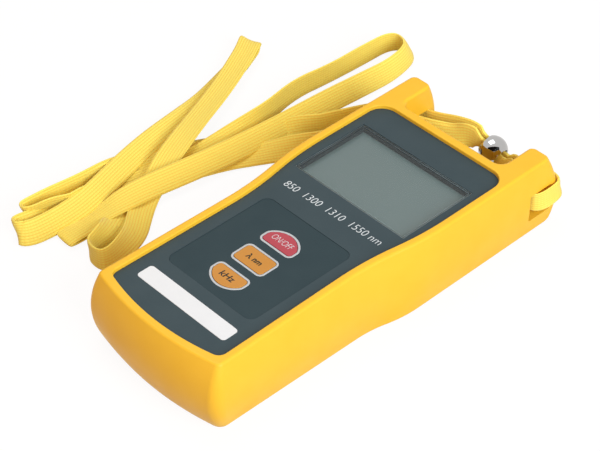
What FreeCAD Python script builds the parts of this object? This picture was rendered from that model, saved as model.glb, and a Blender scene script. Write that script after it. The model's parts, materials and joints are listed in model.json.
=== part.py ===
"""Hand-held optical light source in a rubber boot, lying on its back with its lanyard.

Millimetres. X runs across the instrument, Y from its rounded end to the lanyard ears and
Z up through the front panel. The origin is under the middle of the boot, on the surface.
"""

import FreeCAD
import Part

import math
import os

# Front panel outline
PANEL_BASE_HALF = 28.8
PANEL_WAIST_HALF = 28.1
PANEL_HEAD_HALF = 32.4
PANEL_BASE_Y = -78.4
PANEL_END_BULGE = 4.1
WAIST_Y = -21.0
HEAD_Y = 27.0
PANEL_TOP_Y = 60.1
PANEL_BASE_RADIUS = 3.5
PANEL_TOP_RADIUS = 7.0
PANEL_THICK = 0.8

# Rubber boot
RIM_WIDTH = 3.0
RIM_TOP_WIDTH = 4.0
RIM_RISE = 1.6
RIM_LIP = 1.0
BOOT_FLOOR = 2.0
BOOT_EDGE_RADIUS = 1.2
BOOT_FOOT_RADIUS = 1.2
RIM_INNER_RADIUS = 0.45
RIM_CORNER_RADIUS = 2.2

# Bowed sides of the boot: how far the belly and the foot reach past the panel at base, waist and head
BELLY_Z = 15.0
BELLY_GROW = (5.6, 6.0, 5.2)
BELLY_SWEEP_Y = (-19.5, 18.0)
BELLY_END_BOW = 4.2
BELLY_CORNER_RADIUS = 5.0
FOOT_GROW = (2.8, 4.4, 4.0)
FOOT_SWEEP_Y = (-18.0, 10.0)
FOOT_CORNER_RADIUS = 4.0

# Lanyard ears
EAR_WIDTH = 9.4
EAR_REACH = 21.4
EAR_TOP_INSET = 4.5
EAR_FOOT_INSET = 1.8
EAR_HEEL_RADIUS = 8.5
EAR_CORNER_RADIUS = 2.6
NOTCH_RADIUS = 4.0
SLOT_LENGTH = 12.2
SLOT_TIP_WALL = 4.3
SLOT_Z = (7.6, 19.8)
SLOT_RADIUS = 1.0

# Instrument case
FIT_GAP = 0.15
CASE_WALL = 2.0
CASE_TOP_RADIUS = 6.0
CASE_BASE_RADIUS = 3.0
CASE_INNER_RADIUS = 1.0
PARTING_Z = 17.0
CASE_SCREW_BASE = (20.0, 2.2)
CASE_SCREW_HEAD_INSET = (5.4, 4.6)
CASE_BOSS_RADIUS = 2.6
CASE_SCREW_RADIUS = 1.1
CASE_SCREW_HEAD = (2.0, 1.6)
CASE_SCREW_SEAT = 3.6
CASE_SCREW_BITE = 6.0
SCREW_GAP = 0.05

# Display
WINDOW_Y = (9.6, 46.1)
WINDOW_LEDGE = 1.0
LENS_THICK = 0.65
LENS_GAP = 0.1
GLASS_MARGIN_X = 0.3
GLASS_MARGIN_Y = 1.5
GLASS_THICK = 1.8
HOLDER_WALL = 0.75
HOLDER_FLOOR = 0.8
HOLDER_GAP = 0.15
HOLDER_CASE_GAP = 0.3
STACK_GAP = 0.05

# Keypad
KEYPAD_HALF = 22.4
KEYPAD_Y = (-58.9, -9.5)
KEYPAD_RADIUS = 3.5
KEYPAD_SINK = 0.1
KEY_HALF = 7.25
KEY_CORNER_RADIUS = 1.4
KEY_SIDE = 3.7
KEY_CROWN = 4.3
KEY_GAP = 0.15
KEY_RISE = 0.25
KEY_EDGE_RADIUS = 0.2
KEY_FLANGE = 0.9
KEY_FLANGE_THICK = 0.7
KEY_FLANGE_GAP = 0.15
KEY_TRAVEL = 0.35
KEY_SWITCH_GAP = 0.1
ON_OFF_BASE_Y = -26.75
WAVE_KEY_Y = (-40.65, -32.2)
MODE_BASE_Y = -45.9
SWITCH_SIZE = 6.0
SWITCH_BODY = 2.6
SWITCH_BUTTON = 0.9
SWITCH_BUTTON_RADIUS = 1.75

# Name plate, left bare
LABEL_HALF = 22.95
LABEL_Y = (-71.9, -64.5)
LABEL_RADIUS = 1.5
LABEL_THICK = 0.35
LABEL_RISE = 0.05

# Circuit board
BOARD_BAY_GAP = 0.25
BOARD_THICK = 1.6
BOARD_INSET = 2.6
BOARD_BASE_INSET = 8.4
BOARD_HEAD_INSET = 3.1
BOARD_CORNER_RADIUS = 1.5
BOARD_BOSS_GAP = 0.4
BOARD_SCREW_WAIST = (23.0, 3.5)
BOARD_SCREW_TOP = (17.0, 7.1)
BOARD_BOSS_RADIUS = 2.2
BOARD_SCREW_RADIUS = 0.9
BOARD_SCREW_HEAD = (1.8, 1.2)
BOARD_SCREW_BITE = 3.5
CONTROLLER_SIZE = (12.0, 12.0, 1.6)
CONTROLLER_SPOT = (14.0, -2.0)
DRIVER_SIZE = (8.0, 8.0, 1.3)
DRIVER_SPOT = (8.0, 36.0)

# Battery bay
CELL_COUNT = 3
CELL_RADIUS = 7.25
CELL_LENGTH = 50.5
CELL_SPACING = 0.5
CELL_NUB = (2.7, 1.0)
CELL_DOOR_GAP = 0.25
BAY_BASE_INSET = 7.4
BAY_SIDE_GAP = 0.75
BAY_WALL = 1.5
BAY_ROOF = 1.0
CONTACT_SHEET = 0.4
CONTACT_SIZE = (8.0, 9.0)
CONTACT_BOW = 1.6
CONTACT_DIMPLE = (1.6, 0.9)
CONTACT_GAP = 0.1

# Battery door
DOOR_THICK = 2.0
DOOR_GAP = 0.3
DOOR_PIN = (0.6, 1.2)
DOOR_PIN_GAP = 0.1
DOOR_HINGE_INSET = 1.4
THUMB_GROOVE = (9.0, 1.2, 3.0)
BOOT_WINDOW_MARGIN = 3.0
BOOT_WINDOW_RADIUS = 4.0

# Optical port
PORT_X = -12.0
PORT_Z = 12.6
PORT_OPENING_RADIUS = 7.0
BARREL_RADIUS = 4.0
BARREL_REACH = 12.0
BARREL_BORE_RADIUS = 3.2
BARREL_BACK = 1.2
BARREL_GAP = 0.1
BARREL_SLOT = (2.2, 4.0)
FLANGE_SIZE = 14.0
FLANGE_RADIUS = 2.0
FLANGE_THICK = 2.0
SLEEVE_BORE_RADIUS = 1.25
LIGHT_PATH_RADIUS = 0.8
SLEEVE_RADIUS = 1.6
SLEEVE_LENGTH = 9.0
SLEEVE_GAP = 0.04
SLEEVE_HOLDER_WALL = 0.6
ADAPTER_SCREW_OFFSET = 5.2
ADAPTER_SCREW_RADIUS = 0.8
ADAPTER_SCREW_HEAD = (1.4, 0.9)
ADAPTER_SCREW_BITE = 1.5
LASER_RADIUS = 3.2
LASER_LENGTH = 14.0
LASER_CAP = (2.6, 1.5)
LASER_PIN = (0.25, 6.0)
LASER_PIN_CIRCLE = 1.27
CLAMP_SIZE = (11.0, 8.0)
CLAMP_OVER = 2.5
CLAMP_GAP = 0.05

# Lanyard and its bead
CORD_RADIUS = 1.2
BEAD_RADIUS = 5.8
BEAD_BORE_RADIUS = 3.7
BEAD_EDGE_RADIUS = 0.35
BEAD_CENTRE = (8.0, 80.6, 18.9)
BEAD_TILT_DEG = 20.0
ROUTE_FILL = 0.45


def panel_half_at(y):
    """Half width of the panel at a place along its waist."""
    run, rise = (PANEL_HEAD_HALF - PANEL_WAIST_HALF) / 2, (HEAD_Y - WAIST_Y) / 2
    radius = (run * run + rise * rise) / (2 * run)
    to_waist, to_head = max(y - WAIST_Y, 0.0), max(HEAD_Y - y, 0.0)
    bow = radius * (1 - math.sqrt(1 - (min(to_waist, to_head) / radius) ** 2))
    return PANEL_WAIST_HALF + bow if to_waist < to_head else PANEL_HEAD_HALF - bow


# Heights from the surface up to the rim: boot, door, cells, board, switches, keys and panel
CASE_UNDER_Z = BOOT_FLOOR + FIT_GAP
CASE_FLOOR_Z = CASE_UNDER_Z + CASE_WALL
CELL_Z = CASE_UNDER_Z + DOOR_THICK + CELL_DOOR_GAP + CELL_RADIUS
BAY_ROOF_Z = CELL_Z + CELL_RADIUS + CELL_DOOR_GAP
BOARD_UNDER_Z = BAY_ROOF_Z + BAY_ROOF + BOARD_BAY_GAP
BOARD_Z = (BOARD_UNDER_Z, BOARD_UNDER_Z + BOARD_THICK)
SWITCH_TOP_Z = BOARD_Z[1] + SWITCH_BODY + SWITCH_BUTTON
FLANGE_UNDER_Z = SWITCH_TOP_Z + KEY_SWITCH_GAP + KEY_TRAVEL
KEY_FLANGE_Z = (FLANGE_UNDER_Z, FLANGE_UNDER_Z + KEY_FLANGE_THICK)
CASE_ROOF_Z = KEY_FLANGE_Z[1] + KEY_FLANGE_GAP
CASE_Z = (CASE_UNDER_Z, CASE_ROOF_Z + CASE_WALL)
PANEL_Z = CASE_Z[1] + PANEL_THICK
BOOT_Z = PANEL_Z + RIM_RISE
KEYPAD_TOP_Z = PANEL_Z - KEYPAD_SINK
KEY_TOP_Z = KEYPAD_TOP_Z + KEY_RISE
GLASS_Z = (CASE_ROOF_Z - STACK_GAP - GLASS_THICK, CASE_ROOF_Z - STACK_GAP)

# Places that follow
CASE_GROW = RIM_LIP - FIT_GAP
CASE_TOP_Y = PANEL_TOP_Y + CASE_GROW
BOOT_TOP_Y = PANEL_TOP_Y + RIM_TOP_WIDTH
BOOT_HEAD_HALF = PANEL_HEAD_HALF + RIM_WIDTH
EAR_INNER_X = BOOT_HEAD_HALF - EAR_WIDTH
EAR_OUTER_X = PANEL_HEAD_HALF + max(BELLY_GROW[2], FOOT_GROW[2]) + FIT_GAP
EAR_TIP_Y = BOOT_TOP_Y + EAR_REACH
SLOT_Y = (EAR_TIP_Y - SLOT_TIP_WALL - SLOT_LENGTH, EAR_TIP_Y - SLOT_TIP_WALL)
CELL_PITCH = 2 * CELL_RADIUS + CELL_SPACING
BAY_HALF = CELL_PITCH * (CELL_COUNT - 1) / 2 + CELL_RADIUS + BAY_SIDE_GAP
BAY_BASE_Y = PANEL_BASE_Y + BAY_BASE_INSET
CELL_Y0 = BAY_BASE_Y + CONTACT_SHEET + CONTACT_BOW + CONTACT_GAP
CELL_Y1 = CELL_Y0 + CELL_LENGTH
BAY_HEAD_Y = CELL_Y1 + CONTACT_GAP + CONTACT_DIMPLE[1] + CONTACT_SHEET
CASE_SCREW_SPOTS = ((CASE_SCREW_BASE[0], PANEL_BASE_Y + CASE_SCREW_BASE[1]),
                    (PANEL_HEAD_HALF - CASE_SCREW_HEAD_INSET[0], PANEL_TOP_Y - CASE_SCREW_HEAD_INSET[1]))
BOARD_SCREW_SPOTS = ((BOARD_SCREW_WAIST[0], BAY_HEAD_Y + BAY_WALL + BOARD_SCREW_WAIST[1]),
                     (BOARD_SCREW_TOP[0], PANEL_TOP_Y - BOARD_SCREW_TOP[1]))
DOOR_HALF = BAY_HALF - DOOR_GAP
HINGE_Y = BAY_BASE_Y + DOOR_HINGE_INSET
HINGE_Z = CASE_Z[0] + DOOR_THICK / 2
DOOR_END_Y = BAY_HEAD_Y - DOOR_GAP
GLASS_Y = (WINDOW_Y[0] - GLASS_MARGIN_Y, WINDOW_Y[1] + GLASS_MARGIN_Y)
HOLDER_RIM = HOLDER_GAP + HOLDER_WALL
CASE_INNER_HALF = panel_half_at(GLASS_Y[0] - HOLDER_RIM) + CASE_GROW - CASE_WALL
GLASS_HALF = CASE_INNER_HALF - HOLDER_CASE_GAP - HOLDER_RIM
WINDOW_HALF = GLASS_HALF - GLASS_MARGIN_X
FLANGE_Y = (CASE_TOP_Y - CASE_WALL - FLANGE_THICK, CASE_TOP_Y - CASE_WALL)
BARREL_END_Y = FLANGE_Y[1] + BARREL_REACH
SLEEVE_Y0 = FLANGE_Y[1] + BARREL_BACK + SLEEVE_GAP
LASER_Y0 = FLANGE_Y[0] - LASER_LENGTH

# Lanyard route, from the bead round both ears and the loops beside the boot, back to the bead
LANYARD_ROUTE = (
    # Out of the bead, through the right ear and round its end, back through the bead
    (8.3, 78.7, 18.8), (16.3, 78.5, 15.9), (24.4, 75.6, 14.8), (31.2, 72.6, 14.7),
    (36.8, 71.2, 14.8), (39.5, 74.8, 14.8), (39.6, 80.8, 14.8), (39.4, 85.6, 14.8),
    (35.0, 87.9, 14.8), (29.6, 87.9, 14.8), (23.9, 86.4, 15.0), (16.2, 82.7, 15.9),
    (-0.2, 82.4, 21.9), (-9.4, 80.7, 19.6), (-17.5, 79.2, 16.6),
    # Through the left ear and down to the surface
    (-25.5, 78.3, 14.8), (-33.0, 78.0, 14.2), (-41.5, 76.6, 12.4), (-50.5, 70.4, 9.0),
    (-58.5, 60.5, 6.4), (-65.6, 49.6, 3.6),
    # Under the near loop and along the far strand
    (-72.6, 38.4, 1.5), (-79.6, 27.8, 1.4), (-88.4, 14.0, 2.4), (-93.4, -2.0, 2.0),
    (-95.6, -18.0, 1.4), (-97.8, -34.0, 4.4), (-99.6, -47.0, 5.2), (-101.3, -57.0, 5.2),
    # Back along the inner strand
    (-101.5, -64.7, 5.2), (-95.5, -64.9, 5.8), (-94.4, -55.5, 6.0), (-94.6, -46.5, 5.0),
    (-91.4, -34.0, 1.4), (-89.2, -18.0, 1.4), (-87.4, -2.0, 1.4), (-83.4, 13.0, 3.4),
    (-81.4, 29.0, 5.8), (-82.6, 47.0, 5.6), (-84.0, 64.0, 5.4), (-84.8, 82.0, 5.2),
    (-84.6, 101.0, 5.2),
    # Near loop and its long front strand
    (-84.0, 121.0, 5.2), (-70.0, 121.6, 5.2), (-67.6, 103.0, 5.2), (-69.6, 84.0, 5.2),
    (-69.9, 66.0, 5.4), (-71.4, 48.0, 5.6), (-73.4, 30.0, 5.6), (-74.6, 12.0, 5.6),
    (-77.0, -5.0, 6.0), (-78.8, -21.0, 6.6), (-79.8, -36.0, 6.0), (-78.6, -48.0, 5.4),
    # Tucked under the outer loop
    (-76.8, -60.2, 5.2), (-83.8, -61.6, 4.4), (-85.8, -53.8, 1.6), (-86.0, -46.2, 1.4),
    (-92.6, -46.0, 1.4), (-93.4, -56.0, 1.6), (-95.0, -65.5, 2.8), (-95.2, -73.6, 5.0),
    # Outer loop, front strand up to the fold
    (-89.2, -73.8, 5.2), (-87.8, -62.0, 5.2), (-89.8, -46.0, 5.2), (-93.0, -31.0, 5.4),
    (-97.0, -15.0, 5.4), (-101.2, 2.0, 4.6), (-105.2, 18.5, 3.0), (-109.2, 34.5, 1.8),
    (-114.6, 49.5, 1.4), (-119.6, 61.4, 1.4), (-122.8, 67.2, 1.4), (-126.2, 74.0, 1.4),
    # From the fold back over the strands
    (-122.5, 76.0, 6.4), (-116.6, 67.6, 5.9), (-114.2, 59.6, 5.2), (-108.6, 48.6, 5.0),
    (-102.4, 35.0, 5.2), (-97.0, 22.0, 6.0), (-91.0, 8.0, 7.2), (-85.2, -6.0, 7.6),
    (-81.0, -16.6, 4.8),
    # Small loop beside the boot
    (-77.2, -25.0, 1.4), (-73.4, -30.6, 1.8), (-68.4, -36.4, 3.8), (-60.6, -41.0, 4.8),
    (-56.6, -50.0, 5.0), (-56.4, -60.2, 5.0),
    # Under the front strand and along the boot to the left ear
    (-65.6, -60.8, 5.0), (-69.0, -51.4, 4.4), (-73.8, -43.4, 2.0), (-80.0, -36.4, 1.4),
    (-82.6, -26.0, 1.4), (-83.4, -12.0, 1.4), (-78.4, -1.0, 1.4), (-70.4, 9.0, 3.0),
    (-63.0, 22.6, 4.6), (-55.4, 37.0, 5.2), (-48.6, 51.6, 6.0),
    # Through the left ear and back into the bead
    (-45.4, 63.6, 9.0), (-41.4, 72.2, 12.2), (-33.0, 74.0, 14.0), (-25.0, 74.4, 14.8),
    (-16.8, 75.4, 16.6), (-8.8, 77.0, 19.6), (-0.3, 78.7, 21.9), (7.7, 78.7, 19.0),
)

KEYS = ("on_off_key", "wave_key", "mode_key")
X_AXIS = FreeCAD.Vector(1, 0, 0)
Y_AXIS = FreeCAD.Vector(0, 1, 0)
Z_AXIS = FreeCAD.Vector(0, 0, 1)
MATCH = 1e-4


def vec(x, y, z=0.0):
    return FreeCAD.Vector(x, y, z)


def box(x, y, z):
    """Block between (low, high) pairs."""
    return Part.makeBox(x[1] - x[0], y[1] - y[0], z[1] - z[0], vec(x[0], y[0], z[0]))


def post(x, y, radius, z):
    """Upright cylinder between two heights."""
    return Part.makeCylinder(radius, z[1] - z[0], vec(x, y, z[0]))


def rod(centre, radius, y):
    """Cylinder along Y at a plan place and height, between two Y values."""
    return Part.makeCylinder(radius, y[1] - y[0], vec(centre[0], y[0], centre[1]), Y_AXIS)


def fuse(shapes):
    """One clean solid from shapes that overlap or share faces."""
    return shapes[0].multiFuse(list(shapes[1:])).removeSplitter()


def upright_edges(shape, spots):
    """Upright edges that stand at the given plan spots."""
    found = []
    for edge in shape.Edges:
        a, b = edge.Vertexes[0].Point, edge.Vertexes[-1].Point
        if abs(a.z - b.z) < MATCH or math.hypot(a.x - b.x, a.y - b.y) > MATCH:
            continue
        if any(math.hypot(a.x - x, a.y - y) < MATCH for x, y in spots):
            found.append(edge)
    return found


def both_sides(spots):
    """Spots and their mirror images across the middle plane."""
    return [(side * x, y) for x, y in spots for side in (1, -1)]


def rounded_plate(half, y, z, radius):
    """Plate of the given half width with rounded upright corners."""
    plate = box((-half, half), y, z)
    corners = both_sides([(half, y[0]), (half, y[1])])
    return plate.makeFillet(radius, upright_edges(plate, corners))


def arc(a, middle, b):
    return Part.Arc(vec(*a), vec(*middle), vec(*b)).toShape()


def line(a, b):
    return Part.LineSegment(vec(*a), vec(*b)).toShape()


def waist_sweep(low, high):
    """Two equal arcs that lead from one upright line to another, tangent to both."""
    middle = ((low[0] + high[0]) / 2, (low[1] + high[1]) / 2)
    run, rise = middle[0] - low[0], middle[1] - low[1]
    radius = (run * run + rise * rise) / (2 * run)
    half_turn = math.asin(rise / radius) / 2
    first = (low[0] + radius * (1 - math.cos(half_turn)), low[1] + radius * math.sin(half_turn))
    second = (2 * middle[0] - first[0], 2 * middle[1] - first[1])
    return [(low, first, middle), (middle, second, high)]


def waisted_outline(base, waist, head, head_path):
    """Closed plan outline through the right side's corner, waist and head; head_path closes that side."""
    right = [(base, waist)] + waist_sweep(waist, head)
    path = [head] + list(head_path)
    right += list(zip(path, path[1:]))
    edges = []
    for side in (1, -1):
        for points in right:
            flipped = [(side * x, y) for x, y in points]
            edges.append(arc(*flipped) if len(flipped) == 3 else line(*flipped))
    last = path[-1]
    edges.append(line(last, (-last[0], last[1])))
    edges.append(arc((-base[0], base[1]), (0.0, base[1] - PANEL_END_BULGE), base))
    return Part.Wire(Part.__sortEdges__(edges))


def slab(grow, top_y, z, base_radius, top_radius):
    """Waisted block with rounded upright corners."""
    base = (PANEL_BASE_HALF + grow, PANEL_BASE_Y - grow)
    waist, head = (PANEL_WAIST_HALF + grow, WAIST_Y), (PANEL_HEAD_HALF + grow, HEAD_Y)
    top = (head[0], top_y)
    block = Part.Face(waisted_outline(base, waist, head, [top])).extrude(vec(0, 0, z[1] - z[0]))
    block.translate(vec(0, 0, z[0]))
    block = block.makeFillet(base_radius, upright_edges(block, both_sides([base])))
    return block.makeFillet(top_radius, upright_edges(block, both_sides([top])))


def boot_section(z, grow, sweep_y, end_bow, corner_radius, tip_y):
    """Plan outline of the boot's outside at one height; grow is for its rounded end, waist and head."""
    base = (PANEL_BASE_HALF + grow[0], PANEL_BASE_Y - RIM_WIDTH - end_bow)
    waist, head = (PANEL_WAIST_HALF + grow[1], sweep_y[0]), (PANEL_HEAD_HALF + grow[2], sweep_y[1])
    tips = [(head[0], tip_y), (EAR_INNER_X, tip_y)]
    notch = (EAR_INNER_X, BOOT_TOP_Y)
    block = Part.Face(waisted_outline(base, waist, head, tips + [notch])).extrude(Z_AXIS)
    for radius, spots in ((corner_radius, [base]), (NOTCH_RADIUS, [notch]), (EAR_CORNER_RADIUS, tips)):
        block = block.makeFillet(radius, upright_edges(block, both_sides(spots)))
    wire = min(block.Faces, key=lambda face: face.BoundBox.ZMax).OuterWire
    wire.translate(vec(0, 0, z))
    return wire


def boot_blank():
    """Outside of the boot with its two ears, before it is hollowed: foot, belly and rim in one sweep."""
    rim = boot_section(BOOT_Z, (RIM_WIDTH,) * 3, (WAIST_Y, HEAD_Y), 0.0, RIM_CORNER_RADIUS,
                       EAR_TIP_Y - EAR_TOP_INSET)
    belly = boot_section(BELLY_Z, BELLY_GROW, BELLY_SWEEP_Y, BELLY_END_BOW, BELLY_CORNER_RADIUS, EAR_TIP_Y)
    foot = boot_section(0.0, FOOT_GROW, FOOT_SWEEP_Y, 0.0, FOOT_CORNER_RADIUS, EAR_TIP_Y - EAR_FOOT_INSET)
    blank = Part.makeLoft([foot, belly, rim], True, False)
    blank = blank.makeFillet(BOOT_FOOT_RADIUS, level_edges(blank, 0.0))
    return blank.cut(ear_heel_waste(EAR_OUTER_X))


def ear_heel_waste(half):
    """What is cut from under the ears' ends to leave a round heel."""
    past = EAR_TIP_Y + EAR_HEEL_RADIUS
    heel_y = EAR_TIP_Y - EAR_HEEL_RADIUS
    bend = EAR_HEEL_RADIUS * math.sqrt(0.5)
    heel = Part.Arc(vec(0, heel_y, 0), vec(0, heel_y + bend, EAR_HEEL_RADIUS - bend),
                    vec(0, EAR_TIP_Y, EAR_HEEL_RADIUS)).toShape()
    wire = Part.Wire([heel] + [Part.LineSegment(vec(0, *a), vec(0, *b)).toShape() for a, b in (
        ((EAR_TIP_Y, EAR_HEEL_RADIUS), (past, EAR_HEEL_RADIUS)),
        ((past, EAR_HEEL_RADIUS), (past, 0)),
        ((past, 0), (heel_y, 0)))])
    waste = Part.Face(wire).extrude(vec(2 * half + 2, 0, 0))
    waste.translate(vec(-half - 1, 0, 0))
    return waste


def level_edges(shape, z):
    """Edges that lie flat at the given height."""
    return [e for e in shape.Edges if all(abs(v.Point.z - z) < MATCH for v in e.Vertexes)
            and abs(e.BoundBox.ZMax - z) < MATCH and abs(e.BoundBox.ZMin - z) < MATCH]


def protective_boot():
    boot = boot_blank()
    boot = boot.makeFillet(BOOT_EDGE_RADIUS, level_edges(boot, BOOT_Z))
    mouth = slab(0.0, PANEL_TOP_Y, (PANEL_Z, BOOT_Z), PANEL_BASE_RADIUS, PANEL_TOP_RADIUS)
    boot = boot.cut(mouth)
    inner = [edge for edge in level_edges(boot, BOOT_Z) if edge.distToShape(mouth)[0] < MATCH]
    boot = boot.makeFillet(RIM_INNER_RADIUS, inner)
    hollow = slab(RIM_LIP, PANEL_TOP_Y + RIM_LIP, (BOOT_FLOOR, PANEL_Z),
                  CASE_BASE_RADIUS + FIT_GAP, CASE_TOP_RADIUS + FIT_GAP)
    window_y = (BAY_BASE_Y - BOOT_WINDOW_MARGIN, BAY_HEAD_Y + BOOT_WINDOW_MARGIN)
    window = rounded_plate(BAY_HALF + BOOT_WINDOW_MARGIN, window_y, (0, BOOT_FLOOR), BOOT_WINDOW_RADIUS)
    port = rod((PORT_X, PORT_Z), PORT_OPENING_RADIUS, (PANEL_TOP_Y, BOOT_TOP_Y))
    boot = boot.cut(Part.makeCompound([hollow, window, port]))
    return boot.cut(Part.makeCompound([ear_slot(side) for side in (1, -1)]))


def ear_slot(side):
    """Lanyard slot that goes through one ear, with rounded corners."""
    low, high = sorted((side * EAR_INNER_X, side * EAR_OUTER_X))
    slot = box((low, high), SLOT_Y, SLOT_Z)
    along = [edge for edge in slot.Edges if edge.BoundBox.XLength > high - low - MATCH]
    return slot.makeFillet(SLOT_RADIUS, along)


def case_shell(z, hollow_z):
    """One half of the case: a waisted block with its inside taken out."""
    outer = slab(CASE_GROW, CASE_TOP_Y, z, CASE_BASE_RADIUS, CASE_TOP_RADIUS)
    inner = slab(CASE_GROW - CASE_WALL, CASE_TOP_Y - CASE_WALL, hollow_z,
                 CASE_INNER_RADIUS, CASE_INNER_RADIUS)
    return outer.cut(inner)


def front_case():
    shell = case_shell((PARTING_Z, CASE_Z[1]), (PARTING_Z, CASE_ROOF_Z))
    case_bosses = [post(x, y, CASE_BOSS_RADIUS, (PARTING_Z, CASE_ROOF_Z))
                   for x, y in both_sides(CASE_SCREW_SPOTS)]
    board_bosses = [post(x, y, BOARD_BOSS_RADIUS, (BOARD_Z[1], CASE_ROOF_Z))
                    for x, y in both_sides(BOARD_SCREW_SPOTS)]
    shell = fuse([shell] + case_bosses + board_bosses)
    half = WINDOW_HALF - WINDOW_LEDGE
    roof = (CASE_ROOF_Z, CASE_Z[1])
    cuts = [box((-half, half), shrunk(WINDOW_Y, WINDOW_LEDGE), roof)]
    cuts += [key_block(name, KEY_GAP, roof) for name in KEYS]
    case_thread = (PARTING_Z, PARTING_Z + CASE_SCREW_BITE + SCREW_GAP)
    cuts += [post(x, y, CASE_SCREW_RADIUS + SCREW_GAP, case_thread) for x, y in both_sides(CASE_SCREW_SPOTS)]
    board_thread = (BOARD_Z[1], BOARD_Z[1] + BOARD_SCREW_BITE + SCREW_GAP)
    cuts += [post(x, y, BOARD_SCREW_RADIUS + SCREW_GAP, board_thread)
             for x, y in both_sides(BOARD_SCREW_SPOTS)]
    return shell.cut(Part.makeCompound(cuts))


def rear_case():
    shell = case_shell((CASE_Z[0], PARTING_Z), (CASE_FLOOR_Z, PARTING_Z))
    bosses = [post(x, y, CASE_BOSS_RADIUS, (CASE_Z[0], PARTING_Z)) for x, y in both_sides(CASE_SCREW_SPOTS)]
    outside = BAY_HALF + BAY_WALL
    bay = box((-outside, outside), (BAY_BASE_Y - BAY_WALL, BAY_HEAD_Y + BAY_WALL),
              (CASE_Z[0], BAY_ROOF_Z + BAY_ROOF))
    shell = fuse([shell, bay] + bosses)
    cuts = [box((-BAY_HALF, BAY_HALF), (BAY_BASE_Y, BAY_HEAD_Y), (CASE_Z[0], BAY_ROOF_Z))]
    seat_z = CASE_Z[0] + CASE_SCREW_SEAT
    for x, y in both_sides(CASE_SCREW_SPOTS):
        cuts.append(post(x, y, CASE_SCREW_RADIUS + SCREW_GAP, (CASE_Z[0], PARTING_Z)))
        cuts.append(post(x, y, CASE_SCREW_HEAD[0] + SCREW_GAP, (CASE_Z[0], seat_z)))
    socket = DOOR_HALF + DOOR_PIN[1] + DOOR_PIN_GAP
    cuts.append(Part.makeCylinder(DOOR_PIN[0] + DOOR_PIN_GAP, 2 * socket,
                                  vec(-socket, HINGE_Y, HINGE_Z), X_AXIS))
    wall = (CASE_TOP_Y - CASE_WALL, CASE_TOP_Y)
    cuts.append(rod((PORT_X, PORT_Z), BARREL_RADIUS + BARREL_GAP, wall))
    thread = (wall[0], wall[0] + ADAPTER_SCREW_BITE + SCREW_GAP)
    cuts += [rod(spot, ADAPTER_SCREW_RADIUS + SCREW_GAP, thread) for spot in adapter_screw_spots()]
    return shell.cut(Part.makeCompound(cuts))


def key_outline(name, grow):
    """Corner spots and edges of one key's plan, grow outside the coloured cap."""
    half = KEY_HALF + grow
    if name == "wave_key":
        low, high = WAVE_KEY_Y[0] - grow, WAVE_KEY_Y[1] + grow
        corners = [(half, low), (half, high), (-half, high), (-half, low)]
        return corners, [line(a, b) for a, b in zip(corners, corners[1:] + corners[:1])]
    base, way = (ON_OFF_BASE_Y, 1) if name == "on_off_key" else (MODE_BASE_Y, -1)
    flat, side = base - way * grow, base + way * KEY_SIDE
    crown = side + way * (KEY_CROWN + grow)
    corners = [(half, side), (half, flat), (-half, flat), (-half, side)]
    edges = [line(a, b) for a, b in zip(corners, corners[1:])]
    return corners, edges + [arc((-half, side), (0.0, crown), (half, side))]


def key_block(name, grow, z):
    """Upright block on one key's plan with rounded corners."""
    corners, edges = key_outline(name, grow)
    block = Part.Face(Part.Wire(Part.__sortEdges__(edges))).extrude(vec(0, 0, z[1] - z[0]))
    block.translate(vec(0, 0, z[0]))
    return block.makeFillet(KEY_CORNER_RADIUS + grow, upright_edges(block, corners))


def key(name):
    """Key cap with the flange that keeps it under the case roof."""
    cap = key_block(name, 0.0, (KEY_FLANGE_Z[0], KEY_TOP_Z))
    cap = cap.makeFillet(KEY_EDGE_RADIUS, level_edges(cap, KEY_TOP_Z))
    return fuse([cap, key_block(name, KEY_FLANGE, KEY_FLANGE_Z)])


def key_centre_y(name):
    return key_block(name, 0.0, KEY_FLANGE_Z).BoundBox.Center.y


def key_switches():
    """Tactile switches on the board, a key's travel below the flanges."""
    half = SWITCH_SIZE / 2
    switches = []
    for name in KEYS:
        y = key_centre_y(name)
        body = box((-half, half), (y - half, y + half), (BOARD_Z[1], BOARD_Z[1] + SWITCH_BODY))
        switches.append(fuse([body, post(0.0, y, SWITCH_BUTTON_RADIUS, (BOARD_Z[1], SWITCH_TOP_Z))]))
    return Part.makeCompound(switches)


def front_panel():
    panel = slab(CASE_GROW, CASE_TOP_Y, (CASE_Z[1], PANEL_Z), CASE_BASE_RADIUS, CASE_TOP_RADIUS)
    thick = (CASE_Z[1], PANEL_Z)
    label_z = (PANEL_Z + LABEL_RISE - LABEL_THICK, PANEL_Z)
    return panel.cut(Part.makeCompound([
        box((-WINDOW_HALF, WINDOW_HALF), WINDOW_Y, thick),
        rounded_plate(KEYPAD_HALF, KEYPAD_Y, thick, KEYPAD_RADIUS),
        rounded_plate(LABEL_HALF, LABEL_Y, label_z, LABEL_RADIUS)]))


def shrunk(pair, gap):
    return pair[0] + gap, pair[1] - gap


def keypad_plate():
    z = (CASE_Z[1], KEYPAD_TOP_Z)
    plate = rounded_plate(KEYPAD_HALF - LENS_GAP, shrunk(KEYPAD_Y, LENS_GAP), z, KEYPAD_RADIUS - LENS_GAP)
    return plate.cut(Part.makeCompound([key_block(name, KEY_GAP, z) for name in KEYS]))


def label_plate():
    z = (PANEL_Z + LABEL_RISE - LABEL_THICK, PANEL_Z + LABEL_RISE)
    return rounded_plate(LABEL_HALF - LENS_GAP, shrunk(LABEL_Y, LENS_GAP), z, LABEL_RADIUS - LENS_GAP)


def display_window():
    half = WINDOW_HALF - LENS_GAP
    return box((-half, half), shrunk(WINDOW_Y, LENS_GAP), (CASE_Z[1], CASE_Z[1] + LENS_THICK))


def lcd_panel():
    return box((-GLASS_HALF, GLASS_HALF), GLASS_Y, GLASS_Z)


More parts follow.
